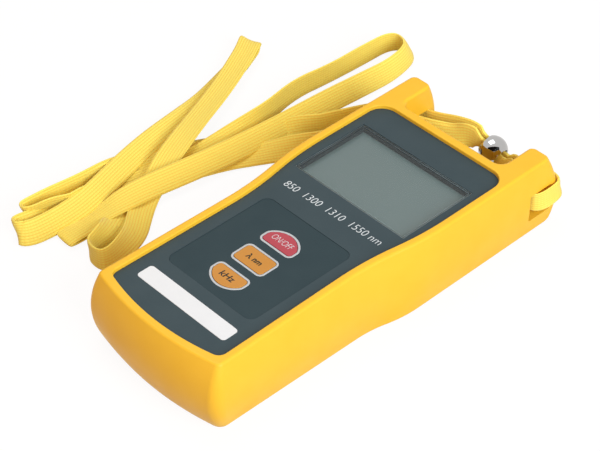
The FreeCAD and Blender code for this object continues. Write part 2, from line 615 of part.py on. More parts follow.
def lcd_backlight():
    z = (BOARD_Z[1] + HOLDER_FLOOR + STACK_GAP, GLASS_Z[0] - STACK_GAP)
    return box((-GLASS_HALF, GLASS_HALF), GLASS_Y, z)


def lcd_holder():
    """Open tray on the board that keeps light and glass in place."""
    inside, outside = GLASS_HALF + HOLDER_GAP, GLASS_HALF + HOLDER_GAP + HOLDER_WALL
    z = (BOARD_Z[1], GLASS_Z[1] - STACK_GAP)
    tray = box((-outside, outside), shrunk(GLASS_Y, -HOLDER_GAP - HOLDER_WALL), z)
    return tray.cut(box((-inside, inside), shrunk(GLASS_Y, -HOLDER_GAP), (z[0] + HOLDER_FLOOR, z[1])))


def main_board():
    base_y, head_y = PANEL_BASE_Y + BOARD_BASE_INSET, PANEL_TOP_Y - BOARD_HEAD_INSET
    board = slab(-BOARD_INSET, head_y, BOARD_Z, BOARD_CORNER_RADIUS, BOARD_CORNER_RADIUS)
    board = board.common(box((-PANEL_HEAD_HALF, PANEL_HEAD_HALF), (base_y, head_y), BOARD_Z))
    boss_hole, screw_hole = CASE_BOSS_RADIUS + BOARD_BOSS_GAP, BOARD_SCREW_RADIUS + SCREW_GAP
    holes = [post(x, y, boss_hole, BOARD_Z) for x, y in both_sides(CASE_SCREW_SPOTS)]
    holes += [post(x, y, screw_hole, BOARD_Z) for x, y in both_sides(BOARD_SCREW_SPOTS)]
    return board.cut(Part.makeCompound(holes))


def chip(spot, size, z, way):
    """Chip that sits on the board at a height, upwards or downwards."""
    low, high = sorted((z, z + way * size[2]))
    x, y = ((place - side / 2, place + side / 2) for place, side in zip(spot, size))
    return box(x, y, (low, high))


def screw(place, way, radius, head, reach):
    """Round-headed screw: head behind the place, shank ahead of it."""
    back = place - way * head[1]
    shank = Part.makeCylinder(radius, head[1] + reach, back, way)
    return fuse([Part.makeCylinder(head[0], head[1], back, way), shank])


def case_screws():
    seat_z = CASE_Z[0] + CASE_SCREW_SEAT
    reach = PARTING_Z + CASE_SCREW_BITE - seat_z
    return Part.makeCompound([screw(vec(x, y, seat_z), Z_AXIS, CASE_SCREW_RADIUS, CASE_SCREW_HEAD, reach)
                              for x, y in both_sides(CASE_SCREW_SPOTS)])


def board_screws():
    reach = BOARD_THICK + BOARD_SCREW_BITE
    return Part.makeCompound([
        screw(vec(x, y, BOARD_Z[0]), Z_AXIS, BOARD_SCREW_RADIUS, BOARD_SCREW_HEAD, reach)
        for x, y in both_sides(BOARD_SCREW_SPOTS)])


def cell_x(index):
    return CELL_PITCH * (index - (CELL_COUNT - 1) / 2)


def cell_points_up(index):
    """Cells lie head to tail: every second one has its nub at the bay's far end."""
    return index % 2 == 0


def battery_cell(index):
    spot = (cell_x(index), CELL_Z)
    radius, height = CELL_NUB
    can_y, nub_y = (CELL_Y0, CELL_Y1 - height), (CELL_Y1 - height, CELL_Y1)
    if not cell_points_up(index):
        can_y, nub_y = (CELL_Y0 + height, CELL_Y1), (CELL_Y0, CELL_Y0 + height)
    return fuse([rod(spot, CELL_RADIUS, can_y), rod(spot, radius, nub_y)])


def contact_sheet(index, y):
    half, tall = CONTACT_SIZE[0] / 2, CONTACT_SIZE[1] / 2
    x = cell_x(index)
    return box((x - half, x + half), y, (CELL_Z - tall, CELL_Z + tall))


def spring_contacts():
    """Bowed leaf contacts on the bay's near wall."""
    contacts = []
    for index in range(CELL_COUNT):
        sheet = contact_sheet(index, (BAY_BASE_Y, BAY_BASE_Y + CONTACT_SHEET))
        start = vec(cell_x(index) - CONTACT_SIZE[0] / 2, BAY_BASE_Y + CONTACT_SHEET, CELL_Z)
        bow = Part.makeCylinder(CONTACT_BOW, CONTACT_SIZE[0], start, X_AXIS)
        bow = bow.cut(Part.makeCylinder(CONTACT_BOW - CONTACT_SHEET, CONTACT_SIZE[0], start, X_AXIS))
        keep = contact_sheet(index, (BAY_BASE_Y + CONTACT_SHEET / 2, CELL_Y0))
        contacts.append(fuse([sheet, bow.common(keep)]))
    return Part.makeCompound(contacts)


def plate_contacts():
    """Dimpled plate contacts on the bay's far wall."""
    contacts = []
    for index in range(CELL_COUNT):
        sheet = contact_sheet(index, (BAY_HEAD_Y - CONTACT_SHEET, BAY_HEAD_Y))
        dimple = rod((cell_x(index), CELL_Z), CONTACT_DIMPLE[0], (CELL_Y1 + CONTACT_GAP, BAY_HEAD_Y))
        contacts.append(fuse([sheet, dimple]))
    return Part.makeCompound(contacts)


def battery_door():
    """Flat door with a round hinge edge, two pivot pins and a thumb groove."""
    z = (CASE_Z[0], CASE_Z[0] + DOOR_THICK)
    leaf = box((-DOOR_HALF, DOOR_HALF), (HINGE_Y, DOOR_END_Y), z)
    edge = Part.makeCylinder(DOOR_THICK / 2, 2 * DOOR_HALF, vec(-DOOR_HALF, HINGE_Y, HINGE_Z), X_AXIS)
    reach = DOOR_HALF + DOOR_PIN[1]
    pins = Part.makeCylinder(DOOR_PIN[0], 2 * reach, vec(-reach, HINGE_Y, HINGE_Z), X_AXIS)
    half, depth, width = THUMB_GROOVE[0] / 2, THUMB_GROOVE[1], THUMB_GROOVE[2]
    groove_y = DOOR_END_Y - 2 * width
    groove = Part.makeCylinder(width / 2, 2 * half, vec(-half, groove_y, z[0] + depth - width / 2), X_AXIS)
    return fuse([leaf, edge, pins]).cut(groove)


def adapter_screw_spots():
    """Two screws level with the port's axis, one on each side of it."""
    return [(PORT_X + side * ADAPTER_SCREW_OFFSET, PORT_Z) for side in (1, -1)]


def fc_adapter():
    """Flanged barrel of the optical port with its key slot and sleeve holder."""
    half = FLANGE_SIZE / 2
    flange = box((PORT_X - half, PORT_X + half), FLANGE_Y, (PORT_Z - half, PORT_Z + half))
    corners = [edge for edge in flange.Edges if edge.BoundBox.YLength > FLANGE_THICK - MATCH]
    flange = flange.makeFillet(FLANGE_RADIUS, corners)
    spot = (PORT_X, PORT_Z)
    back_y = FLANGE_Y[1] + BARREL_BACK
    barrel = rod(spot, BARREL_RADIUS, (FLANGE_Y[0], BARREL_END_Y))
    barrel = barrel.cut(rod(spot, BARREL_BORE_RADIUS, (back_y, BARREL_END_Y)))
    seat = SLEEVE_RADIUS + SLEEVE_GAP
    sleeve_end = SLEEVE_Y0 + SLEEVE_LENGTH
    holder = rod(spot, seat + SLEEVE_HOLDER_WALL, (FLANGE_Y[1], sleeve_end))
    holder = holder.cut(rod(spot, seat, (back_y, sleeve_end)))
    body = fuse([flange, barrel, holder])
    half_slot = BARREL_SLOT[0] / 2
    key_slot = box((PORT_X - half_slot, PORT_X + half_slot), (BARREL_END_Y - BARREL_SLOT[1], BARREL_END_Y),
                   (PORT_Z + seat + SLEEVE_HOLDER_WALL, PORT_Z + BARREL_RADIUS))
    cuts = [key_slot, rod(spot, LIGHT_PATH_RADIUS, (FLANGE_Y[0], back_y))]
    cuts += [rod(place, ADAPTER_SCREW_RADIUS + SCREW_GAP, FLANGE_Y) for place in adapter_screw_spots()]
    return body.cut(Part.makeCompound(cuts))


def ceramic_sleeve():
    span = (SLEEVE_Y0, SLEEVE_Y0 + SLEEVE_LENGTH)
    spot = (PORT_X, PORT_Z)
    return rod(spot, SLEEVE_RADIUS, span).cut(rod(spot, SLEEVE_BORE_RADIUS, span))


def adapter_screws():
    reach = FLANGE_THICK + ADAPTER_SCREW_BITE
    return Part.makeCompound([
        screw(vec(x, FLANGE_Y[0], z), Y_AXIS, ADAPTER_SCREW_RADIUS, ADAPTER_SCREW_HEAD, reach)
        for x, z in adapter_screw_spots()])


def laser_module():
    """Source can behind the port, with its cap and three leads."""
    spot = (PORT_X, PORT_Z)
    can_y = LASER_Y0 + LASER_CAP[1]
    parts = [rod(spot, LASER_RADIUS, (can_y, FLANGE_Y[0])), rod(spot, LASER_CAP[0], (LASER_Y0, can_y))]
    for turn in (90, 210, 330):
        x = PORT_X + LASER_PIN_CIRCLE * math.cos(math.radians(turn))
        z = PORT_Z + LASER_PIN_CIRCLE * math.sin(math.radians(turn))
        parts.append(rod((x, z), LASER_PIN[0], (LASER_Y0 - LASER_PIN[1], can_y)))
    return fuse(parts)


def laser_clamp():
    """Block on the case floor that holds the source can."""
    half = CLAMP_SIZE[0] / 2
    middle = (LASER_Y0 + LASER_CAP[1] + FLANGE_Y[0]) / 2
    span = (middle - CLAMP_SIZE[1] / 2, middle + CLAMP_SIZE[1] / 2)
    block = box((PORT_X - half, PORT_X + half), span, (CASE_FLOOR_Z, PORT_Z + LASER_RADIUS + CLAMP_OVER))
    return block.cut(rod((PORT_X, PORT_Z), LASER_RADIUS + CLAMP_GAP, span))


def bead_axis():
    tilt = math.radians(BEAD_TILT_DEG)
    return vec(math.cos(tilt), 0, -math.sin(tilt))


def lanyard_bead():
    centre = vec(*BEAD_CENTRE)
    ball = Part.makeSphere(BEAD_RADIUS, centre, bead_axis())
    mouth = centre - bead_axis() * BEAD_RADIUS
    bore = Part.makeCylinder(BEAD_BORE_RADIUS, 2 * BEAD_RADIUS, mouth, bead_axis())
    bead = ball.cut(bore)
    mouths = [edge for edge in bead.Edges if isinstance(edge.Curve, Part.Circle)
              and abs(edge.Curve.Radius - BEAD_BORE_RADIUS) < MATCH and edge.isClosed()]
    return bead.makeFillet(BEAD_EDGE_RADIUS, mouths)


def cord_path(points):
    """Straight runs joined by tangent arcs, each as large as its two runs allow."""
    edges, radii = [], []
    here = points[0]
    for before, corner, after in zip(points, points[1:], points[2:]):
        back, ahead = before - corner, after - corner
        cut = ROUTE_FILL * min(back.Length, ahead.Length)
        back.normalize()
        ahead.normalize()
        half_turn = (math.pi - back.getAngle(ahead)) / 2
        radius = cut / math.tan(half_turn)
        inward = (back + ahead).normalize()
        middle = corner + inward * (math.hypot(radius, cut) - radius)
        start, end = corner + back * cut, corner + ahead * cut
        edges.append(Part.LineSegment(here, start).toShape())
        edges.append(Part.Arc(start, middle, end).toShape())
        radii.append(radius)
        here = end
    edges.append(Part.LineSegment(here, points[-1]).toShape())
    return Part.Wire(edges), radii


def lanyard():
    """Plain tube along the lanyard's route, with its radii and volume printed."""
    points = [vec(*place) for place in LANYARD_ROUTE]
    path, radii = cord_path(points)
    profile = Part.Wire([Part.makeCircle(CORD_RADIUS, points[0], points[1] - points[0])])
    tube = path.makePipeShell([profile], True, True)
    expected = math.pi * CORD_RADIUS ** 2 * path.Length
    print("lanyard length %.1f, radii %.1f to %.1f" % (path.Length, min(radii), max(radii)))
    print("lanyard volume %.1f, section times length %.1f" % (tube.Volume, expected))
    return tube


def export(name, shape):
    shape.exportStep("parts/%s.step" % name)
    found = (name, len(shape.Solids), shape.Volume, shape.isValid())
    print("%-20s solids %d  volume %9.1f  valid %s" % found)


os.makedirs("parts", exist_ok=True)
NODES = {
    "protective_boot": protective_boot,
    "front_case": front_case,
    "rear_case": rear_case,
    "front_panel": front_panel,
    "display_window": display_window,
    "lcd_panel": lcd_panel,
    "lcd_backlight": lcd_backlight,
    "lcd_holder": lcd_holder,
    "keypad_plate": keypad_plate,
    "label_plate": label_plate,
    "key_switches": key_switches,
    "main_board": main_board,
    "case_screws": case_screws,
    "board_screws": board_screws,
    "spring_contacts": spring_contacts,
    "plate_contacts": plate_contacts,
    "battery_door": battery_door,
    "fc_adapter": fc_adapter,
    "ceramic_sleeve": ceramic_sleeve,
    "adapter_screws": adapter_screws,
    "laser_module": laser_module,
    "laser_clamp": laser_clamp,
    "lanyard_bead": lanyard_bead,
    "lanyard": lanyard,
}
for node, make in NODES.items():
    export(node, make())
for node in KEYS:
    export(node, key(node))
for number in range(CELL_COUNT):
    export("battery_cell_%d" % (number + 1), battery_cell(number))
export("controller_chip", chip(CONTROLLER_SPOT, CONTROLLER_SIZE, BOARD_Z[1], 1))
export("driver_chip", chip(DRIVER_SPOT, DRIVER_SIZE, BOARD_Z[0], -1))
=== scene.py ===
"""Looks of a hand-held optical light source: rubber boot, panel, keys, display and lanyard.

Metres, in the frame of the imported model: X runs across the panel, Y to the lanyard ears and Z up.
"""

from __future__ import annotations

import json
import logging
import math
from dataclasses import dataclass
from enum import Enum
from typing import Sequence

import bpy
import numpy as np
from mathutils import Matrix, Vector

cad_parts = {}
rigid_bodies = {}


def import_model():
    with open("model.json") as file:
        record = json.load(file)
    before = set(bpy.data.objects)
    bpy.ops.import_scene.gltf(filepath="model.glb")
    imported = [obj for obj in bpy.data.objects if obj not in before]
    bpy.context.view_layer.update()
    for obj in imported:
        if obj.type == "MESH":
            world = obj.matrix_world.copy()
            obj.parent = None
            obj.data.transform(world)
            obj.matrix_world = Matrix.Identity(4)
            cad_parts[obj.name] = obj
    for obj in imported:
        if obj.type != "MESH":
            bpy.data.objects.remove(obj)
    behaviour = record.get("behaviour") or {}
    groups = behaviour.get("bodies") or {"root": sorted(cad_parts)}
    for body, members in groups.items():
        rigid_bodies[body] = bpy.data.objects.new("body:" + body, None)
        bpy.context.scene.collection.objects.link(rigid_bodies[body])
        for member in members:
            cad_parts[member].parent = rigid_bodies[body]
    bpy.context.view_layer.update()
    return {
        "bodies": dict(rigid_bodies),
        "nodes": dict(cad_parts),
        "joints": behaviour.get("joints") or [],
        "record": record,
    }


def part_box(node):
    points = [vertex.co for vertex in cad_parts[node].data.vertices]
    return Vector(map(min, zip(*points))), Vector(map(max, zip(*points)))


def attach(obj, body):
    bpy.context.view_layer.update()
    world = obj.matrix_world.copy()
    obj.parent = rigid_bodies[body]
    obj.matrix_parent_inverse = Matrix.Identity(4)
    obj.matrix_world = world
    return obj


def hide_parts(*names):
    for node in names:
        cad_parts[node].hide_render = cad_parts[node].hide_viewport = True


LOG = logging.getLogger("light_source")
MM = 0.001
Colour = tuple[float, float, float]
Place = tuple[float, float, float]
Pair = tuple[float, float]
Array = np.ndarray
Tree = bpy.types.NodeTree
Socket = bpy.types.NodeSocket
Material = bpy.types.Material
Mesh = bpy.types.Mesh

# Sockets of the colour form of the Mix node
MIX_FACTOR, MIX_A, MIX_B, MIX_RESULT = 0, 6, 7, 2
# Printed words: lean to the right for each unit of height, thickness of the ink, and the text's
# depth before it is scaled to that thickness
PRINT_SLANT = 0.1
INK_THICK = 0.03 * MM
TEXT_DEPTH = 0.1
# Strap: its width and the rows of the braid side by side
STRAP_WIDTH = 10.0 * MM
STRAP_ROWS = 9


class Body(Enum):
    """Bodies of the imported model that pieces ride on."""

    INSTRUMENT = "instrument"
    ON_OFF = "on_off_button"
    WAVE = "wave_button"
    MODE = "mode_button"
    BEAD = "bead"


class GroupName(Enum):
    """Shader node groups that several finishes share."""

    MOULDED = "moulded_surface"
    SPECKS = "stray_specks"
    BRUSHED = "brushed_lines"
    BRAID = "flat_braid"


# Lanyard route: X, Y and Z of each control point of the strap's middle line, in millimetres, and the
# rough direction of the strap's width there
LANYARD_ROUTE: tuple[tuple[float, ...], ...] = (
    # Out of the bead, through the right ear and round its end, back through the bead
    (8.3, 79.5, 18.8, 0.3, 0, 1),
    (16.3, 79, 16, 0.3, 0.7, 0.8),
    (24.4, 75.6, 15.2, 0.05, 0.2, 1),
    (31.2, 72.4, 15.4, 0, 0, 1),
    (36.8, 70.8, 15.7, 0, 0, 1),
    (39, 75, 15.7, -0.2, 0, 1),
    (39.2, 80.5, 16, -0.2, 0, 1),
    (38.7, 85, 16.4, -0.15, -0.15, 1),
    (35.2, 86.9, 16.4, -0.05, -0.2, 1),
    (29.6, 87.1, 16, 0, -0.15, 1),
    (23.9, 85.9, 15.6, 0, -0.1, 1),
    (16.2, 82, 16, 0.3, 0, 1),
    (-0.2, 81.9, 21.8, 0.3, 0, 1),
    (-9.4, 81.1, 20, 0, 0, 1),
    (-17.5, 80.2, 17.2, 0, 0, 1),
    # Through the left ear and down to the surface
    (-25.5, 79.6, 15, 0, 0, 1),
    (-33, 79.2, 14.3, 0, 0, 1),
    (-41.5, 77, 12.4, 0, 0, 1),
    (-50.5, 70.4, 9, 0, 0, 1),
    (-58.5, 60.5, 6.4, 0, 0, 1),
    (-65.6, 49.6, 3.6, -0.4, 0, 1),
    # Under the near loop and along the far strand
    (-72.6, 38.4, 1.4, -0.83, 0.55, 0.1),
    (-79.6, 27.8, 1.2, -0.83, 0.55, 0),
    (-88.4, 14, 1.2, -0.9, 0.43, 0),
    (-94.4, -2, 1.2, -0.97, 0.24, 0.1),
    (-97.2, -18, 2.4, -0.8, 0.1, 0.6),
    (-98.4, -34, 4.8, -0.2, 0, 1),
    (-100, -47, 5.2, -0.15, 0, 1),
    (-101.2, -56, 5.2, -0.1, -0.1, 1),
    # Back along the inner strand
    (-101.6, -64.8, 5.2, -0.05, -0.3, 1),
    (-97.4, -64.4, 5.6, 0.05, -0.3, 1),
    (-95.6, -55, 5.8, 0, -0.1, 1),
    (-92.2, -46.5, 5, 0, 0, 1),
    (-90.4, -34, 1.4, -1, 0, 0.3),
    (-88.6, -18, 1.4, -1, 0, 0.1),
    (-86.8, -2, 1.4, -1, -0.1, 0.1),
    (-83.8, 13, 1.4, -1, 0, 0.15),
    (-81.4, 29, 3.8, -0.7, 0, 0.7),
    (-82.4, 45, 5.4, -0.2, 0, 1),
    (-86.4, 64, 5.2, -0.1, 0, 1),
    (-84.2, 82, 5.2, 0, 0, 1),
    (-83.8, 101, 5.2, -0.1, 0, 1),
    # Near loop and its long front strand
    (-83.2, 119, 5.2, 0, -0.2, 1),
    (-71.8, 120, 5.2, -0.3, -0.45, 0.85),
    (-67.6, 104, 5.3, -0.42, 0, 0.9),
    (-68.8, 86, 5.5, -0.55, 0, 0.83),
    (-70.2, 68, 5.6, -0.65, 0, 0.76),
    (-70.8, 49, 5.8, -0.7, 0, 0.71),
    (-71.8, 30, 6.1, -0.76, 0, 0.66),
    (-73.4, 12, 6.3, -0.78, 0, 0.64),
    (-75.8, -5, 6.4, -0.78, 0, 0.64),
    (-79, -21, 5.8, -0.83, 0, 0.56),
    (-79.8, -31.5, 5.8, -0.92, 0, 0.35),
    (-81.2, -41.5, 3.6, -0.98, 0, -0.12),
    (-80.2, -50.5, 2.9, -1, 0.05, -0.08),
    # Folded under itself, below the outer loop
    (-80.9, -61, 2.6, -1, 0.07, 0),
    (-80.9, -61, 1, -1, 0.07, 0),
    (-80.6, -50.5, 1, -1, 0, 0),
    (-82.2, -43, 1, -0.9, -0.4, 0),
    (-87.6, -39, 1, 0, -1, 0),
    (-93, -44, 1.1, 0.9, -0.4, 0),
    (-93.4, -56, 2.2, 0.8, 0, -0.5),
    (-94.2, -64.5, 3.6, 0.6, 0.1, -0.8),
    (-96.2, -72.6, 4.3, 0.57, 0, -0.82),
    # Outer loop, front strand up to the fold
    (-90.6, -73, 4.3, 0.57, 0, -0.82),
    (-88.4, -60, 4.8, 0.66, 0, -0.75),
    (-88, -47, 6, 0.81, 0, -0.58),
    (-90.2, -36, 6.6, 0.83, 0, -0.56),
    (-94, -25, 6, 0.87, 0, -0.5),
    (-98.2, -12.5, 5.2, 0.88, 0, -0.45),
    (-102, 2, 4.4, 0.92, -0.1, -0.4),
    (-105.6, 18.5, 3, 1, 0.1, -0.35),
    (-109.2, 34.5, 1.8, 1, 0.3, -0.2),
    (-114.4, 49.5, 1.4, 1, 0.45, -0.05),
    (-118.2, 60.6, 1.3, 1, 0.35, 0),
    (-121, 66.6, 1.3, 1, 0.3, 0),
    (-124.2, 73.8, 1.3, 1, 0.2, 0),
    # From the fold back over the strands
    (-124.2, 74.4, 5.8, 1, 0.2, 0),
    (-119.6, 67.2, 5.5, 1, 0.45, 0),
    (-116, 60, 5.2, 1, 0.5, 0),
    (-110.4, 49, 5, 1, 0.48, 0),
    (-104.2, 35.5, 5.2, 1, 0.45, 0),
    (-98.4, 22.2, 6, 1, 0.42, 0),
    (-91.8, 8, 7.2, 1, 0.42, -0.1),
    (-85.6, -6, 7, 1, 0.45, -0.2),
    (-81, -16.6, 3.4, 0.9, 0.43, -0.15),
    # Small loop beside the boot
    (-76.8, -25, 1.4, 0.82, 0.55, -0.1),
    (-71, -32.2, 1.7, 0.8, 0.56, -0.25),
    (-64.4, -39.4, 3.2, 0.75, 0.45, -0.5),
    (-60.2, -47.6, 5, 0.5, 0.2, -0.87),
    (-58, -56, 5.1, 0.25, 0, -1),
    (-59.4, -60.8, 5.1, 0.1, 0, -1),
    # Under the front strand and along the boot to the left ear
    (-67.8, -60.2, 5.1, 0.05, 0, -1),
    (-69.4, -53, 4.9, 0.2, 0, -1),
    (-70.8, -47, 3.4, 0.75, 0, -0.65),
    (-75, -40.5, 1.6, 0.9, 0.35, -0.2),
    (-80.4, -31.5, 1.2, 0.92, 0.35, -0.05),
    (-83, -20, 1.2, 1, 0, -0.05),
    (-83, -9, 1.4, 1, -0.1, -0.1),
    (-79.3, 0.1, 1.4, 0.93, -0.38, -0.05),
    (-74, 14.8, 1.4, 0.93, -0.38, -0.05),
    (-68.3, 25.7, 1.8, 0.93, -0.38, -0.2),
    (-58.5, 39.5, 4, 0.6, -0.3, -0.8),
    (-50, 52.5, 6.2, 0, 0, -1),
    # Through the left ear and back into the bead
    (-45.4, 63.6, 9, 0, 0, -1),
    (-41.4, 72.2, 12.2, 0, 0, -1),
    (-33, 74, 14, 0, 0, -1),
    (-25, 74.4, 14.8, 0, 0, -1),
    (-16.8, 75.4, 16, 0, -0.25, -1),
    (-9.2, 76.3, 18, 0, -0.7, -1),
    (-1, 79.4, 22.2, -0.3, 0, -1),
    (7.7, 79.5, 19, -0.3, 0, -1),
)


def place(tree: Tree, kind: str, inputs: dict | None = None, **settings: object) -> bpy.types.Node:
    """Adds a node to a tree, with its settings and inputs.

    Args:
        tree: Node tree that takes the node.
        kind: Blender's type name of the node.
        inputs: Socket to join or value to set, by the input's name or number.
        settings: Properties of the node.

    Returns:
        The new node.
    """
    node = tree.nodes.new(kind)
    for name, value in settings.items():
        setattr(node, name, value)
    for key, value in (inputs or {}).items():
        if isinstance(value, Socket):
            tree.links.new(value, node.inputs[key])
        else:
            node.inputs[key].default_value = value
    return node


def calc(tree: Tree, operation: str, *values: Socket | float) -> Socket:
    """Result of a Math node that works on the values in order."""
    return place(tree, "ShaderNodeMath", dict(enumerate(values)), operation=operation).outputs[0]


def noise(tree: Tree, vector: Socket, scale: Socket, detail: float) -> Socket:
    """Value of a noise texture at a vector."""
    inputs = {"Vector": vector, "Scale": scale, "Detail": detail}
    return place(tree, "ShaderNodeTexNoise", inputs).outputs["Fac"]


def ramp(tree: Tree, value: Socket, low: float, high: float, start: float = 0.0) -> Socket:
    """Straight ramp from start at the low value to one at the high value, level outside them."""
    inputs = {"Value": value, "From Min": low, "From Max": high, "To Min": start}
    return place(tree, "ShaderNodeMapRange", inputs).outputs["Result"]


def blend(tree: Tree, share: Socket, first: Socket | Sequence[float],
          second: Socket | Sequence[float]) -> Socket:
    """Colour that goes from the first to the second as the share goes from zero to one."""
    inputs = {MIX_FACTOR: share, MIX_A: first, MIX_B: second}
    return place(tree, "ShaderNodeMix", inputs, data_type="RGBA").outputs[MIX_RESULT]


def solid(colour: Colour) -> tuple[float, float, float, float]:
    """Colour with full alpha, as sockets take it."""
    return (*colour, 1.0)


class NodeGroups:
    """Builds each shared node group once."""

    # Kinds of the sockets that aren't plain numbers, by name
    KINDS = {"Vector": "NodeSocketVector", "Colour": "NodeSocketColor", "Shade": "NodeSocketColor"}
    # Detail of each noise, and the noise values between which a patch goes from plain to shaded
    PATCH_DETAIL, GRAIN_DETAIL, LINE_DETAIL = 3.0, 2.0, 4.0
    PATCH_FROM, PATCH_TO = 0.3, 0.7
    # Slope of the braid's stitches, wave values that a stitch spans, and its lowest height
    STITCH_SLANT = 1.1
    STITCH_FROM, STITCH_TO, STITCH_LOW = -1.0, 0.6, 0.72
    # Squares of the places off a row's middle between which the braid falls into its groove
    GROOVE_FROM, GROOVE_TO = 0.08, 0.25

    def __init__(self) -> None:
        """Makes all groups."""
        self.trees: dict[GroupName, Tree] = {}
        self._moulded()
        self._specks()
        self._brushed()
        self._braid()

    def _open(self, name: GroupName, inputs: Sequence[str], outputs: Sequence[str]
              ) -> tuple[Tree, bpy.types.NodeOutputs, bpy.types.NodeInputs]:
        """Starts a group with named sockets.

        Args:
            name: The group's name.
            inputs: Name of each input.
            outputs: Name of each output.

        Returns:
            The tree, the sockets that bring its inputs and the sockets that take its results.
        """
        tree = bpy.data.node_groups.new(name.value, "ShaderNodeTree")
        for way, titles in (("INPUT", inputs), ("OUTPUT", outputs)):
            for title in titles:
                kind = self.KINDS.get(title, "NodeSocketFloat")
                tree.interface.new_socket(name=title, in_out=way, socket_type=kind)
        self.trees[name] = tree
        given = tree.nodes.new("NodeGroupInput").outputs
        results = tree.nodes.new("NodeGroupOutput").inputs
        return tree, given, results

    def _moulded(self) -> None:
        """Cloudy colour and gloss over a fine grain, for moulded and printed surfaces."""
        tree, given, results = self._open(
            GroupName.MOULDED,
            ("Vector", "Colour", "Shade", "Patch Scale", "Grain Scale", "Roughness", "Spread"),
            ("Colour", "Roughness", "Height"))
        patch = noise(tree, given["Vector"], given["Patch Scale"], self.PATCH_DETAIL)
        grain = noise(tree, given["Vector"], given["Grain Scale"], self.GRAIN_DETAIL)
        depth = ramp(tree, patch, self.PATCH_FROM, self.PATCH_TO)
        centred = calc(tree, "SUBTRACT", depth, 0.5)
        gloss = calc(tree, "MULTIPLY_ADD", centred, given["Spread"], given["Roughness"])
        tree.links.new(blend(tree, depth, given["Colour"], given["Shade"]), results["Colour"])
        tree.links.new(gloss, results["Roughness"])
        tree.links.new(grain, results["Height"])

    def _specks(self) -> None:
        """Small round specks on a few of a surface's random cells."""
        tree, given, results = self._open(
            GroupName.SPECKS, ("Vector", "Scale", "Reach", "Share"), ("Mask",))
        cells = place(tree, "ShaderNodeTexVoronoi", {"Vector": given["Vector"], "Scale": given["Scale"]})
        near = calc(tree, "LESS_THAN", cells.outputs["Distance"], given["Reach"])
        draw = place(tree, "ShaderNodeSeparateColor", {0: cells.outputs["Color"]})
        chosen = calc(tree, "LESS_THAN", draw.outputs[0], given["Share"])
        tree.links.new(calc(tree, "MULTIPLY", near, chosen), results["Mask"])

    def _brushed(self) -> None:
        """Fine drawn lines, noise that is stretched along one axis of the vector."""
        tree, given, results = self._open(
            GroupName.BRUSHED, ("Vector", "Scale", "Roughness", "Spread"), ("Roughness", "Height"))
        lines = noise(tree, given["Vector"], given["Scale"], self.LINE_DETAIL)
        centred = calc(tree, "SUBTRACT", lines, 0.5)
        gloss = calc(tree, "MULTIPLY_ADD", centred, given["Spread"], given["Roughness"])
        tree.links.new(gloss, results["Roughness"])
        tree.links.new(lines, results["Height"])

    def _braid(self) -> None:
        """Rows of slanted stitches side by side, mirrored about each row's middle."""
        tree, given, results = self._open(
            GroupName.BRAID, ("Vector", "Row", "Stitch"), ("Height", "Groove Shade"))
        split = place(tree, "ShaderNodeSeparateXYZ", {0: given["Vector"]}).outputs
        within = calc(tree, "FRACT", calc(tree, "DIVIDE", split["Y"], given["Row"]))
        half = calc(tree, "ABSOLUTE", calc(tree, "SUBTRACT", within, 0.5))
        along = calc(tree, "DIVIDE", split["X"], given["Stitch"])
        slant = calc(tree, "MULTIPLY_ADD", half, self.STITCH_SLANT, along)
        wave = calc(tree, "SINE", calc(tree, "MULTIPLY", slant, 2 * math.pi))
        stitch = ramp(tree, wave, self.STITCH_FROM, self.STITCH_TO, self.STITCH_LOW)
        groove = ramp(tree, calc(tree, "MULTIPLY", half, half), self.GROOVE_FROM, self.GROOVE_TO)
        height = calc(tree, "MULTIPLY", calc(tree, "SUBTRACT", 1.0, groove), stitch)
        tree.links.new(height, results["Height"])
        # Painted shade mask: one where the stitches dive, for the darker groove colour
        tree.links.new(calc(tree, "SUBTRACT", 1.0, height), results["Groove Shade"])


@dataclass
class Sheet:
    """A new material, ready to be wired."""

    material: Material
    groups: NodeGroups

    def __post_init__(self) -> None:
        """Finds the material's tree and shader."""
        self.material.use_nodes = True
        self.tree: Tree = self.material.node_tree
        self.shader: bpy.types.Node = self.tree.nodes["Principled BSDF"]

    def fix(self, **constants: object) -> None:
        """Sets constant values on the shader's own sockets, by name with _ for a space."""
        for title, value in constants.items():
            self.shader.inputs[title.replace("_", " ")].default_value = value

    def spot(self, source: str = "Object", scale: Place = (1.0, 1.0, 1.0)) -> Socket:
        """Texture coordinates of the piece, stretched by a scale."""
        spot = place(self.tree, "ShaderNodeTexCoord").outputs[source]
        return place(self.tree, "ShaderNodeMapping", {"Vector": spot, "Scale": scale}).outputs["Vector"]

    def group(self, name: GroupName, inputs: dict) -> bpy.types.NodeOutputs:
        """Places a shared group with its own values and returns its outputs."""
        return place(self.tree, "ShaderNodeGroup", inputs, node_tree=self.groups.trees[name]).outputs

    def feed(self, title: str, source: Socket) -> None:
        """Joins a socket to one of the shader's inputs."""
        self.tree.links.new(source, self.shader.inputs[title])

    def relief(self, height: Socket, strength: float, depth: float) -> None:
        """Turns a height into the shader's normal."""
        inputs = {"Height": height, "Strength": strength, "Distance": depth}
        self.feed("Normal", place(self.tree, "ShaderNodeBump", inputs).outputs["Normal"])


